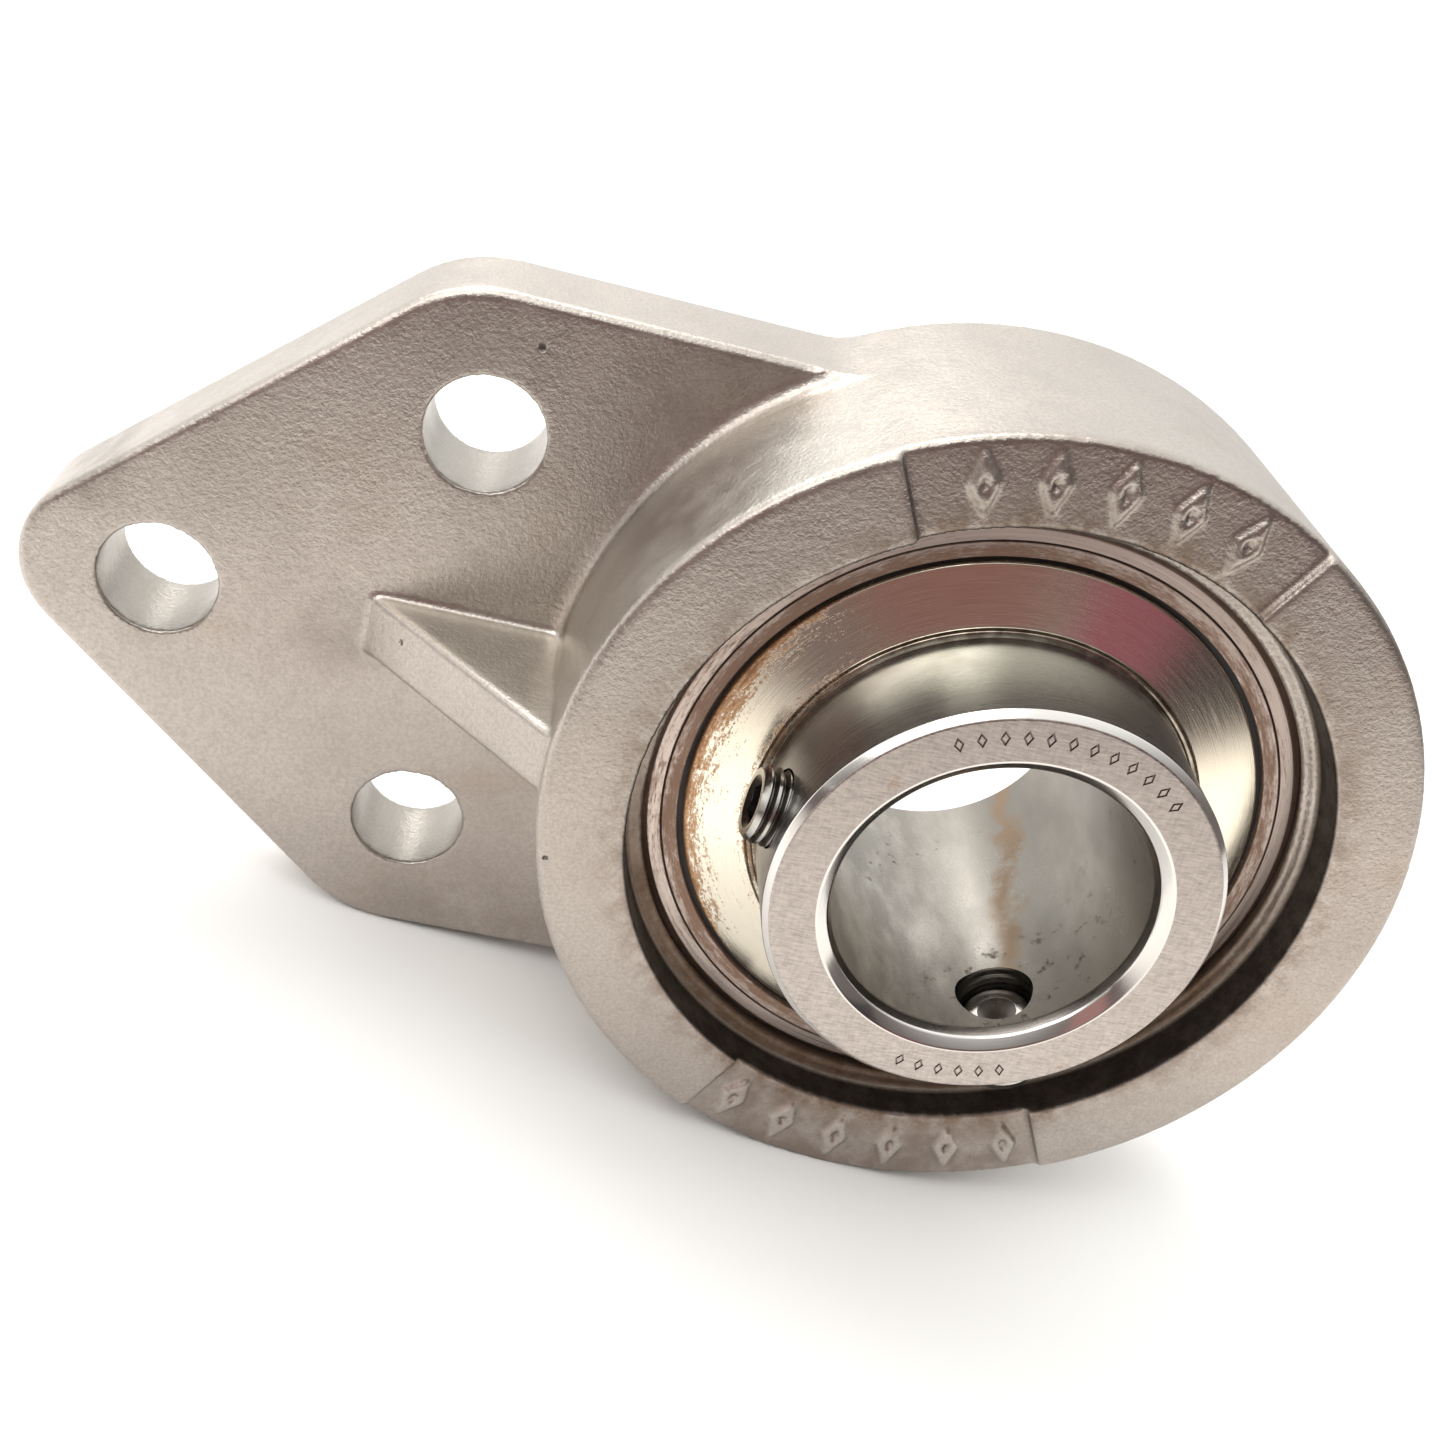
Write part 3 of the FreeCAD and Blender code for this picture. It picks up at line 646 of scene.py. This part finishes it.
def casting():
    """The CAD casting with its corners softened and its skin slightly uneven, as bead blasting leaves it."""
    weld, voxel, grain, grain_height, kept_share = 0.002, 0.36, 1.1, 0.03, 0.33
    back_skin, back_reach = 0.05, 0.3  # depths pressed flat and painted as the mounting face
    piece = bpy.data.objects.new("housing_casting", frame["nodes"]["housing"].data.copy())
    bpy.context.scene.collection.objects.link(piece)
    shape = bmesh.new()
    shape.from_mesh(piece.data)
    bmesh.ops.remove_doubles(shape, verts=shape.verts, dist=weld * MM)
    shape.to_mesh(piece.data)
    shape.free()
    remesh = piece.modifiers.new("remesh", "REMESH")
    remesh.mode = "VOXEL"
    remesh.voxel_size = voxel * MM
    soften = piece.modifiers.new("soften", "SMOOTH")
    soften.factor = 0.5
    soften.iterations = 2
    settled(piece)

    skin = bpy.data.textures.new("cast_skin", "CLOUDS")
    skin.noise_scale = grain * MM
    skin.noise_depth = 2
    uneven = piece.modifiers.new("uneven", "DISPLACE")
    uneven.texture = skin
    uneven.texture_coords = "LOCAL"
    uneven.mid_level = 0.5
    uneven.strength = grain_height * MM
    thin = piece.modifiers.new("thin", "DECIMATE")
    thin.ratio = kept_share
    settled(piece)

    mesh = piece.data
    places = np.empty(len(mesh.vertices) * 3, np.float32)
    mesh.vertices.foreach_get("co", places)
    places = places.reshape(-1, 3)
    places[places[:, 1] > (mount_y - back_skin) * MM, 1] = mount_y * MM
    places = np.clip(places, np.array(housing_low) * MM, np.array(housing_high) * MM)
    mesh.vertices.foreach_set("co", places.astype(np.float32).ravel())
    mesh.update()
    mesh.materials.clear()
    mesh.materials.append(finishes["cast"])
    mesh.materials.append(finishes["machined"])
    count = len(mesh.polygons)
    centres, normals = np.empty(count * 3, np.float32), np.empty(count * 3, np.float32)
    mesh.polygons.foreach_get("center", centres)
    mesh.polygons.foreach_get("normal", normals)
    centres, normals = centres.reshape(-1, 3), normals.reshape(-1, 3)
    on_back = (centres[:, 1] > (mount_y - back_reach) * MM) & (normals[:, 1] > 0.9)
    mesh.polygons.foreach_set("material_index", on_back.astype(np.int32))
    mesh.polygons.foreach_set("use_smooth", [True] * count)
    return stand_in(piece, "housing", "housing")


# ---- Insert ----------------------------------------------------------------------------------------


def inner_ring():
    """Inner ring with ground, polished and honed surfaces, tapped screw holes and engraved ticks."""
    race_depth, race_half = 1.62, 3.9
    ridge_gap, groove_gap = 0.04, 0.2  # tapped holes' clearance over the screws' crests
    race = [(ring_r - race_depth * math.cos(math.radians(a)), race_half * math.sin(math.radians(a)))
            for a in range(-75, 76, 15)]
    corners = [
        (bore_r, nose_y + 1.9, 0.6, "bore"),
        (bore_r, tail_y - 0.8, 0.3, "polished_edge"),
        (bore_r + 0.8, tail_y, 0.3, "ground_face"),
        (ring_r - 0.6, tail_y, 0.3, "polished_edge"),
        (ring_r, tail_y - 0.6, 0.3, "ground_outside"),
        (ring_r, 4.0, 0.1, "race"),
    ]
    corners += [(r, y, 0.0, "race") for r, y in reversed(race)]
    corners += [
        (ring_r, -4.0, 0.1, "ground_outside"),
        (ring_r, nose_y + 0.75, 0.35, "polished_edge"),
        (ring_r - 0.75, nose_y, 0.35, "ground_face"),
        (bore_r + 1.55, nose_y, 0.5, "polished_edge"),
        (bore_r + 0.45, nose_y + 0.85, 0.8, "polished_edge"),
    ]
    piece = lathe("inner_ring_turned", corners, 360)
    tools = []
    for name in SCREWS:
        # The tapped holes' walls take the groove finish, painted shade.
        tool = threaded_rod(name + "_tap", screw_r + groove_gap, screw_r + ridge_gap,
                            bore_r - 3, ring_r + 1.5, 0.0, "groove")
        tool.data.transform(towards(screw_joints[name]["axis"], screw_y))
        tools.append(tool)
    cut_away(piece, tools)
    cut_away(piece, [ticks()])
    shaded(piece)
    return stand_in(piece, "inner_ring", "inner_ring")


def ticks():
    """Small outlined diamonds engraved in the nose face, in two arcs, as one cutting tool."""
    vertices, faces = [], []
    depth, stroke, long, wide, centre_r = 0.16, 0.22, 0.85, 0.5, 20.1
    angles = [52 + 6.1 * step for step in range(12)] + [-100 + 6.1 * step for step in range(6)]
    for degrees in angles:
        along = Vector((math.cos(math.radians(degrees)), 0, math.sin(math.radians(degrees))))
        across = Vector((-along.z, 0, along.x))
        base = len(vertices)
        for y in (nose_y - 0.5, nose_y + depth):
            for shrink in (0, stroke):
                for a, b in ((1, 0), (0, 1), (-1, 0), (0, -1)):
                    away = along * (centre_r + a * (long - 1.7 * shrink)) + across * b * (wide - shrink)
                    vertices.append(away + Vector((0, y, 0)))
        for side in range(4):
            following = (side + 1) % 4
            for a, b in ((0, 4), (8, 12), (0, 8), (4, 12)):
                faces.append((base + a + side, base + a + following, base + b + following, base + b + side))
    tool = mesh_object("tick_tool", vertices, faces, ["engraved"], ["engraved"] * len(faces))
    outwards(tool)
    return tool


def threaded_rod(name, crest_r, root_r, low, high, chamfer, finish, steps=72):
    """A rod along +Y with a true helical thread, cut square at both ends, and chamfered there if asked."""
    # Thread form in one turn: (share of the pitch, radius).
    profile = ((0.0, crest_r), (0.16, crest_r), (0.46, root_r), (0.56, root_r), (0.86, crest_r))
    first, turns = math.floor(low / screw_pitch) - 2, math.ceil((high - low) / screw_pitch) + 3
    vertices, faces, face_finishes = [], [], []
    for turn in range(turns):
        for phase, r in profile:
            for step in range(steps + 1):
                share = step / steps
                angle = 2 * math.pi * share
                y = screw_pitch * (first + turn + phase + share)
                vertices.append((r * math.cos(angle), y, r * math.sin(angle)))
    across = steps + 1
    for row in range(turns * len(profile) - 1):
        on_crest = row % len(profile) in (0, 4)
        for step in range(steps):
            here = row * across + step
            faces.append((here, here + 1, here + across + 1, here + across))
            # Faces off the crest take the groove finish: painted shade in the thread's grooves.
            face_finishes.append(finish if on_crest else "groove")
    rod = mesh_object(name, vertices, faces, sorted(set(face_finishes)), face_finishes, 30)
    shape = bmesh.new()
    shape.from_mesh(rod.data)
    bmesh.ops.remove_doubles(shape, verts=shape.verts, dist=0.0005 * MM)
    open_edges = [edge for edge in shape.edges if edge.is_boundary]
    middle = (low + high) / 2 * MM
    tips = [shape.verts.new((0, y * MM, 0)) for y in (low - 4 * screw_pitch, high + 4 * screw_pitch)]
    for edge in open_edges:
        tip = tips[0] if edge.verts[0].co.y < middle else tips[1]
        shape.faces.new((edge.verts[0], edge.verts[1], tip)).material_index = 0
    shape.to_mesh(rod.data)
    shape.free()
    outwards(rod)
    wide = crest_r + 0.4
    rings = [(wide, low), (wide, high)]
    if chamfer:
        slope = chamfer + 0.4
        rings = [(wide - slope, low), (wide, low + slope), (wide, high - slope), (wide - slope, high)]
    return cut_away(rod, [plug(name + "_blank", rings, finish)], "INTERSECT")


def hex_tool(flats, low, high):
    """Hexagonal prism along +Y that cuts a key socket."""
    corner_r = flats / math.sqrt(3)
    angles = [math.radians(60 * s) for s in range(6)]
    ring = [(corner_r * math.cos(angle), corner_r * math.sin(angle)) for angle in angles]
    vertices = [(x, y, z) for y in (low, high) for x, z in ring]
    faces = [tuple(range(6)), tuple(reversed(range(6, 12)))]
    faces += [(s, (s + 1) % 6, (s + 1) % 6 + 6, s + 6) for s in range(6)]
    tool = mesh_object("hex_tool", vertices, faces, ["groove"], ["groove"] * 8)
    outwards(tool)
    return tool


def plug(name, rings, finish, segments=72):
    """Closed turned shape along +Y through the given (radius, y) rings."""
    vertices = []
    angles = [2 * math.pi * s / segments for s in range(segments)]
    for r, y in rings:
        vertices += [(r * math.cos(a), y, r * math.sin(a)) for a in angles]
    last = (len(rings) - 1) * segments
    faces = [tuple(range(segments)), tuple(reversed(range(last, last + segments)))]
    for base in range(0, last, segments):
        for s in range(segments):
            after = (s + 1) % segments
            faces.append((base + s, base + after, base + after + segments, base + s + segments))
    tool = mesh_object(name, vertices, faces, [finish], [finish] * len(faces))
    outwards(tool)
    return tool


def set_screw(name):
    """Socket set screw with a helical thread, a chamfered end and a cup point."""
    axis = Vector(screw_joints[name]["axis"])
    low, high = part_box(name)
    end_r = ((low + high) / 2).dot(axis) / MM + screw_length / 2
    tip_r = end_r - screw_length
    root_r = screw_r - screw_depth
    rod = threaded_rod(name + "_threaded", screw_r, root_r, tip_r, end_r, screw_depth, "screw")
    # The socket, its mouth and the cup point take the groove finish: painted shade in these recesses.
    socket = hex_tool(socket_flats, end_r - socket_depth, end_r + 1)
    mouth = plug("mouth_tool", [(1.6, end_r - 0.75), (3.05, end_r + 0.2)], "groove")
    cup = plug("cup_tool", [(2.9, tip_r - 0.6), (0.3, tip_r + 1.3)], "groove")
    cut_away(rod, [socket, mouth, cup])
    rod.data.transform(towards(axis, screw_y))
    shaded(rod, 38)
    return stand_in(rod, name, name)


def outer_ring():
    """Outer ring: turned faces with a fine line, ball-shaped outside, polished raceway."""
    sphere_r, race_depth, race_half = 36.0, 1.73, 4.1
    corner_y = outer_half - 0.9
    edge_r = math.sqrt(sphere_r ** 2 - corner_y ** 2)
    ball = [(math.sqrt(sphere_r ** 2 - y * y), y) for y in np.linspace(-corner_y, corner_y, 19)[1:-1]]
    rear_lip_r, front_lip_r = 31.2, flinger_r + 0.6
    race = [(land_r + race_depth * math.cos(math.radians(a)), race_half * math.sin(math.radians(a)))
            for a in range(-75, 76, 15)]
    corners = [
        (land_r, seal_groove_low, 0.05, "turned"),
        (seal_groove_r, seal_groove_low, 0.05, "turned"),
        (seal_groove_r, seal_groove_high, 0.05, "turned"),
        (rear_lip_r, seal_groove_high, 0.05, "turned"),
        (rear_lip_r, outer_half, 0.2, "turned"),
        (edge_r - 1.0, outer_half, 0.25, "turned"),
        (edge_r, corner_y, 0.2, "turned"),
    ]
    corners += [(r, y, 0.0, "turned") for r, y in reversed(ball)]
    corners += [
        (edge_r, -corner_y, 0.2, "turned"),
        (edge_r - 1.0, -outer_half, 0.25, "turned"),
        (turned_line_r + 0.12, -outer_half, 0.04, "turned"),
        (turned_line_r, -outer_half + 0.25, 0.0, "turned"),
        (turned_line_r - 0.12, -outer_half, 0.04, "turned"),
        (front_lip_r, -outer_half, 0.15, "turned"),
        (front_lip_r, -seal_groove_high - 0.03, 0.05, "turned"),
        (seal_groove_r, -seal_groove_high, 0.05, "turned"),
        (seal_groove_r, -seal_groove_low, 0.05, "turned"),
        (land_r, -seal_groove_low, 0.05, "race"),
        (land_r, -race_half - 0.1, 0.0, "race"),
    ]
    corners += [(r, y, 0.0, "race") for r, y in race]
    corners += [(land_r, race_half + 0.1, 0.0, "race")]
    piece = lathe("outer_ring_turned", corners, 360, 4)
    shaded(piece)
    return stand_in(piece, "outer_ring", "outer_ring")


def on_side(corners, side, finish):
    """Cross-section for the rear side (1), or its mirror image for the front side (-1), in one finish."""
    return [(r, side * y, fillet, finish) for r, y, fillet in corners]


def flinger(name, side):
    """Polished dish with a rolled collar and a turned-in rim."""
    sheet = 0.7
    corners = [
        (ring_r, flinger_root - 1.3, 0.1),
        (ring_r + 0.6, flinger_root - 1.3, 0.1),
        (ring_r + 0.9, flinger_root - sheet - 0.1, 0.3),
        (flinger_r - sheet, flinger_rim - sheet, 0.15),
        (flinger_r - sheet + 0.1, flinger_rim - sheet - 0.25, 0.05),
        (flinger_r, flinger_rim - sheet - 0.25, 0.08),
        (flinger_r, flinger_rim, 0.35),
        (ring_r + 1.05, flinger_root - 0.05, 0.25),
        (ring_r + 0.85, flinger_root + 0.48, 0.25),
        (ring_r + 0.42, flinger_root + 0.48, 0.12),
        (ring_r + 0.28, flinger_root + 0.22, 0.08),
        (ring_r, flinger_root + 0.2, 0.05),
    ]
    piece = lathe(name + "_pressed", on_side(corners, side, "flinger"), 360, 6)
    shaded(piece)
    return stand_in(piece, "inner_ring", name)


def seal(name, side):
    """Rubber seal with a snap bead, a rounded skin and a thin lip."""
    back, shield_inner_r, shield_outer_r = 7.5, 24.4, 31.0
    skin = back + 0.5
    outer = skin + 0.4
    corners = [
        (ring_r + 0.04, back - 0.5, 0.05),
        (ring_r + 0.5, back - 0.9, 0.1),
        (shield_inner_r, back - 0.2, 0.05),
        (shield_inner_r, skin, 0.0),
        (shield_outer_r, skin, 0.0),
        (shield_outer_r, back, 0.0),
        (31.75, back, 0.1),
        (31.75, back + 0.8, 0.15),
        (31.1, back + 0.8, 0.1),
        (30.9, outer, 0.15),
        (23.9, outer, 0.2),
        (ring_r + 0.04, back + 0.4, 0.05),
    ]
    piece = lathe(name + "_moulded", on_side(corners, side, "rubber"), 288, 4)
    shaded(piece)
    return stand_in(piece, "outer_ring", name)


# ---- Grease nipple's spring ------------------------------------------------------------------------


def nipple_spring():
    """Coil spring along X under the check ball."""
    low, high = (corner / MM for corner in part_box("grease_nipple_spring"))
    wire_r, turns, steps_per_turn, sides = 0.15, 5, 32, 10
    middle = (low + high) / 2
    coil_r = (high.y - low.y) / 2 - wire_r
    start, rise = low.x + wire_r, high.x - low.x - 2 * wire_r
    count = turns * steps_per_turn + 1
    vertices, faces = [], []
    for step in range(count):
        angle = 2 * math.pi * step / steps_per_turn
        out = Vector((0, math.cos(angle), math.sin(angle)))
        centre = Vector((start + rise * step / (count - 1), middle.y, middle.z)) + out * coil_r
        for side in range(sides):
            turn = 2 * math.pi * side / sides
            vertices.append(centre + (out * math.cos(turn) + Vector((1, 0, 0)) * math.sin(turn)) * wire_r)
    for step in range(count - 1):
        for side in range(sides):
            here, after = step * sides + side, step * sides + (side + 1) % sides
            faces.append((here, after, after + sides, here + sides))
    faces += [tuple(range(sides)), tuple(range((count - 1) * sides, count * sides))]
    coil = mesh_object("grease_nipple_coil", vertices, faces, ["wire"], ["wire"] * len(faces), 60)
    outwards(coil)
    stand_in(coil, "housing", "grease_nipple_spring")
    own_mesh(coil)


# ---- Carried-over CAD nodes ------------------------------------------------------------------------

CARRIED = {
    "cage_front": "pressed", "cage_rear": "pressed", "cage_rivets": "pressed",
    "seal_shield_front": "pressed", "seal_shield_rear": "pressed",
    "grease_nipple": "nipple", "grease_nipple_ball": "ball",
}


def repaint():
    """Procedural finishes on the CAD nodes that keep their own shape."""
    nodes = dict(CARRIED)
    nodes.update({"ball_%d" % number: "ball" for number in range(1, 10)})
    for name, finish in nodes.items():
        piece = frame["nodes"][name]
        for slot in piece.material_slots:
            slot.link = "OBJECT"
            slot.material = finishes[finish]


# ---- Stage -----------------------------------------------------------------------------------------


SQUARE = ((-1, -1), (1, -1), (1, 1), (-1, 1))


def floor():
    """Pale surface under the boss and the lower corner of the flange, on which the part stands."""
    corner_x, corner_z, corner_r = -57.5, -23.9, 15.0  # centre and radius of the flange's lower corner
    span = math.hypot(corner_x, corner_z)
    lean = math.atan2(corner_z, corner_x) + math.acos((boss_r - corner_r) / span)
    down = Vector((math.cos(lean), 0, math.sin(lean)))
    centre = down * boss_r * MM
    half = 6.0  # metres
    across = Vector((-down.z, 0, down.x))
    corners = [centre + across * (a * half) + Vector((0, b * half, 0)) for a, b in SQUARE]
    mesh = bpy.data.meshes.new("floor")
    mesh.from_pydata(corners, [], [(0, 1, 2, 3)])
    surface = bpy.data.objects.new("floor", mesh)
    bpy.context.scene.collection.objects.link(surface)
    n = Nodes("pale_floor")
    tone = n.mix(n.noise(9, 3), rgb(0.90, 0.885, 0.88), rgb(0.93, 0.92, 0.915))
    n.finish(tone, 0.55, metallic=0.0)
    mesh.materials.append(n.material)
    return down


def soft_light(name, place, target, size, power, colour):
    """Square softbox aimed at a point; places are in millimetres."""
    data = bpy.data.lights.new(name, "AREA")
    data.shape = "SQUARE"
    data.size = size * MM
    data.energy = power
    data.color = colour
    lamp = bpy.data.objects.new(name, data)
    lamp.location = Vector(place) * MM
    aim = (Vector(target) - Vector(place)).normalized()
    lamp.rotation_mode = "QUATERNION"
    lamp.rotation_quaternion = aim.to_track_quat("-Z", "Y")
    bpy.context.scene.collection.objects.link(lamp)


def studio(down):
    """Softboxes, a sky that is bright overhead and dim and warm in front, and coloured cards."""
    soft_light("top_softbox", (-350, 500, 900), (-20, 0, 0), 700, 7.5, (1.0, 0.985, 0.96))
    soft_light("left_softbox", (-620, -380, 560), (-30, -30, -20), 500, 1.8, (1.0, 0.97, 0.95))
    soft_light("front_softbox", (-260, -460, 760), (-40, 0, 0), 450, 1.5, (0.97, 1.0, 0.97))
    world = bpy.data.worlds.new("studio")
    world.use_nodes = True
    tree = world.node_tree
    link = tree.links.new
    place = tree.nodes.new("ShaderNodeTexCoord")
    facing = tree.nodes.new("ShaderNodeVectorMath")
    facing.operation = "DOT_PRODUCT"
    facing.inputs[1].default_value = (-0.17, 0.43, 0.885)
    ramp = tree.nodes.new("ShaderNodeMapRange")
    ramp.interpolation_type = "SMOOTHSTEP"
    for key, value in (("From Min", -0.08), ("From Max", 0.62), ("To Min", 0.0), ("To Max", 1.0)):
        ramp.inputs[key].default_value = value
    tone = tree.nodes.new("ShaderNodeMix")
    tone.data_type = "RGBA"
    tone.inputs[6].default_value = rgb(0.21, 0.185, 0.175)
    tone.inputs[7].default_value = rgb(1.45, 1.46, 1.42)
    background = tree.nodes["Background"]
    backdrop = tree.nodes.new("ShaderNodeBackground")
    backdrop.inputs["Strength"].default_value = 1.1
    backdrop.inputs["Color"].default_value = rgb(1.0, 1.0, 1.0)
    path = tree.nodes.new("ShaderNodeLightPath")
    choose = tree.nodes.new("ShaderNodeMixShader")
    link(place.outputs["Generated"], facing.inputs[0])
    link(facing.outputs["Value"], ramp.inputs["Value"])
    link(ramp.outputs["Result"], tone.inputs[0])
    link(tone.outputs[2], background.inputs["Color"])
    link(path.outputs["Is Camera Ray"], choose.inputs[0])
    link(background.outputs[0], choose.inputs[1])
    link(backdrop.outputs[0], choose.inputs[2])
    link(choose.outputs[0], tree.nodes["World Output"].inputs["Surface"])
    bpy.context.scene.world = world

    dim_table(down)
    card("pink_card", (40, -620, 30), (300, 330), rgb(0.25, 0.13, 0.12))
    card("red_card", (300, -560, 30), (150, 330), rgb(0.29, 0.10, 0.135))
    card("rose_card", (-330, -520, 0), (420, 300), rgb(0.50, 0.27, 0.25))
    card("dark_card", (460, -460, -10), (230, 420), rgb(0.06, 0.055, 0.055))


def glow(name, corners, colour, near_colour=None, near=0.0, far=1.0):
    """Self-lit panel that only reflections see. Its colour can change from near to far, in millimetres."""
    mesh = bpy.data.meshes.new(name)
    mesh.from_pydata(corners, [], [(0, 1, 2, 3)])
    panel = bpy.data.objects.new(name, mesh)
    bpy.context.scene.collection.objects.link(panel)
    n = Nodes(name)
    light = n.add("ShaderNodeEmission", {"Color": colour})
    if near_colour is not None:
        slant = n.add("ShaderNodeVectorMath", {0: n.place, 1: (0.45, 1.0, 0.0)}, operation="DOT_PRODUCT")
        away = n.span(slant.outputs["Value"], near * MM, far * MM, smooth=True)
        n.feed(light.inputs["Color"], n.mix(away, near_colour, colour))
    n.tree.links.new(light.outputs[0], n.tree.nodes["Material Output"].inputs["Surface"])
    mesh.materials.append(n.material)
    panel.visible_camera = False
    panel.visible_diffuse = False
    panel.visible_shadow = False


def card(name, place, size, colour):
    """Upright coloured card in front of the part."""
    centre = Vector(place) * MM
    aim = Vector((centre.x, centre.y, 0)).normalized()
    across = Vector((-aim.y, aim.x, 0)) * size[0] / 2 * MM
    rise = Vector((0, 0, size[1] / 2 * MM))
    glow(name, [centre + across * a + rise * b for a, b in SQUARE], colour)


def dim_table(down):
    """Front of the table, bright near the part and then falling into the shade of the room."""
    near, far, half = -48, -1400, 1400
    level = down * (boss_r - 1)
    across = Vector((-down.z, 0, down.x))
    ends = ((-half, near), (half, near), (half, far), (-half, far))
    corners = [(level + across * a + Vector((0, y, 0))) * MM for a, y in ends]
    glow("dim_table", corners, rgb(0.19, 0.15, 0.145), rgb(1.6, 1.54, 1.44), -80, -245)


def camera():
    """Camera in front, above and to the flange side, rolled, as solved from the part's round edges."""
    data = bpy.data.cameras.new("camera")
    data.sensor_width = 36.0
    data.lens = 42.27
    data.clip_start = 0.01
    data.clip_end = 20.0
    view = bpy.data.objects.new("camera", data)
    ahead = Vector((0.159, 0.860, -0.486)).normalized()
    up = Vector((-0.202, 0.510, 0.836))
    right = ahead.cross(up).normalized()
    up = right.cross(ahead)
    turn = Matrix((right, up, -ahead)).transposed().to_4x4()
    view.matrix_world = Matrix.Translation(Vector((-55.7, -156.7, 89.1)) * MM) @ turn
    bpy.context.scene.collection.objects.link(view)
    bpy.context.scene.camera = view


def main():
    camera()
    casting()
    inner_ring()
    outer_ring()
    for side, where in ((-1, "front"), (1, "rear")):
        flinger("flinger_" + where, side)
    for side, where in ((-1, "front"), (1, "rear")):
        seal("seal_rubber_" + where, side)
    for name in SCREWS:
        set_screw(name)
    nipple_spring()
    repaint()
    studio(floor())
    bpy.context.scene.view_settings.view_transform = "Standard"


main()
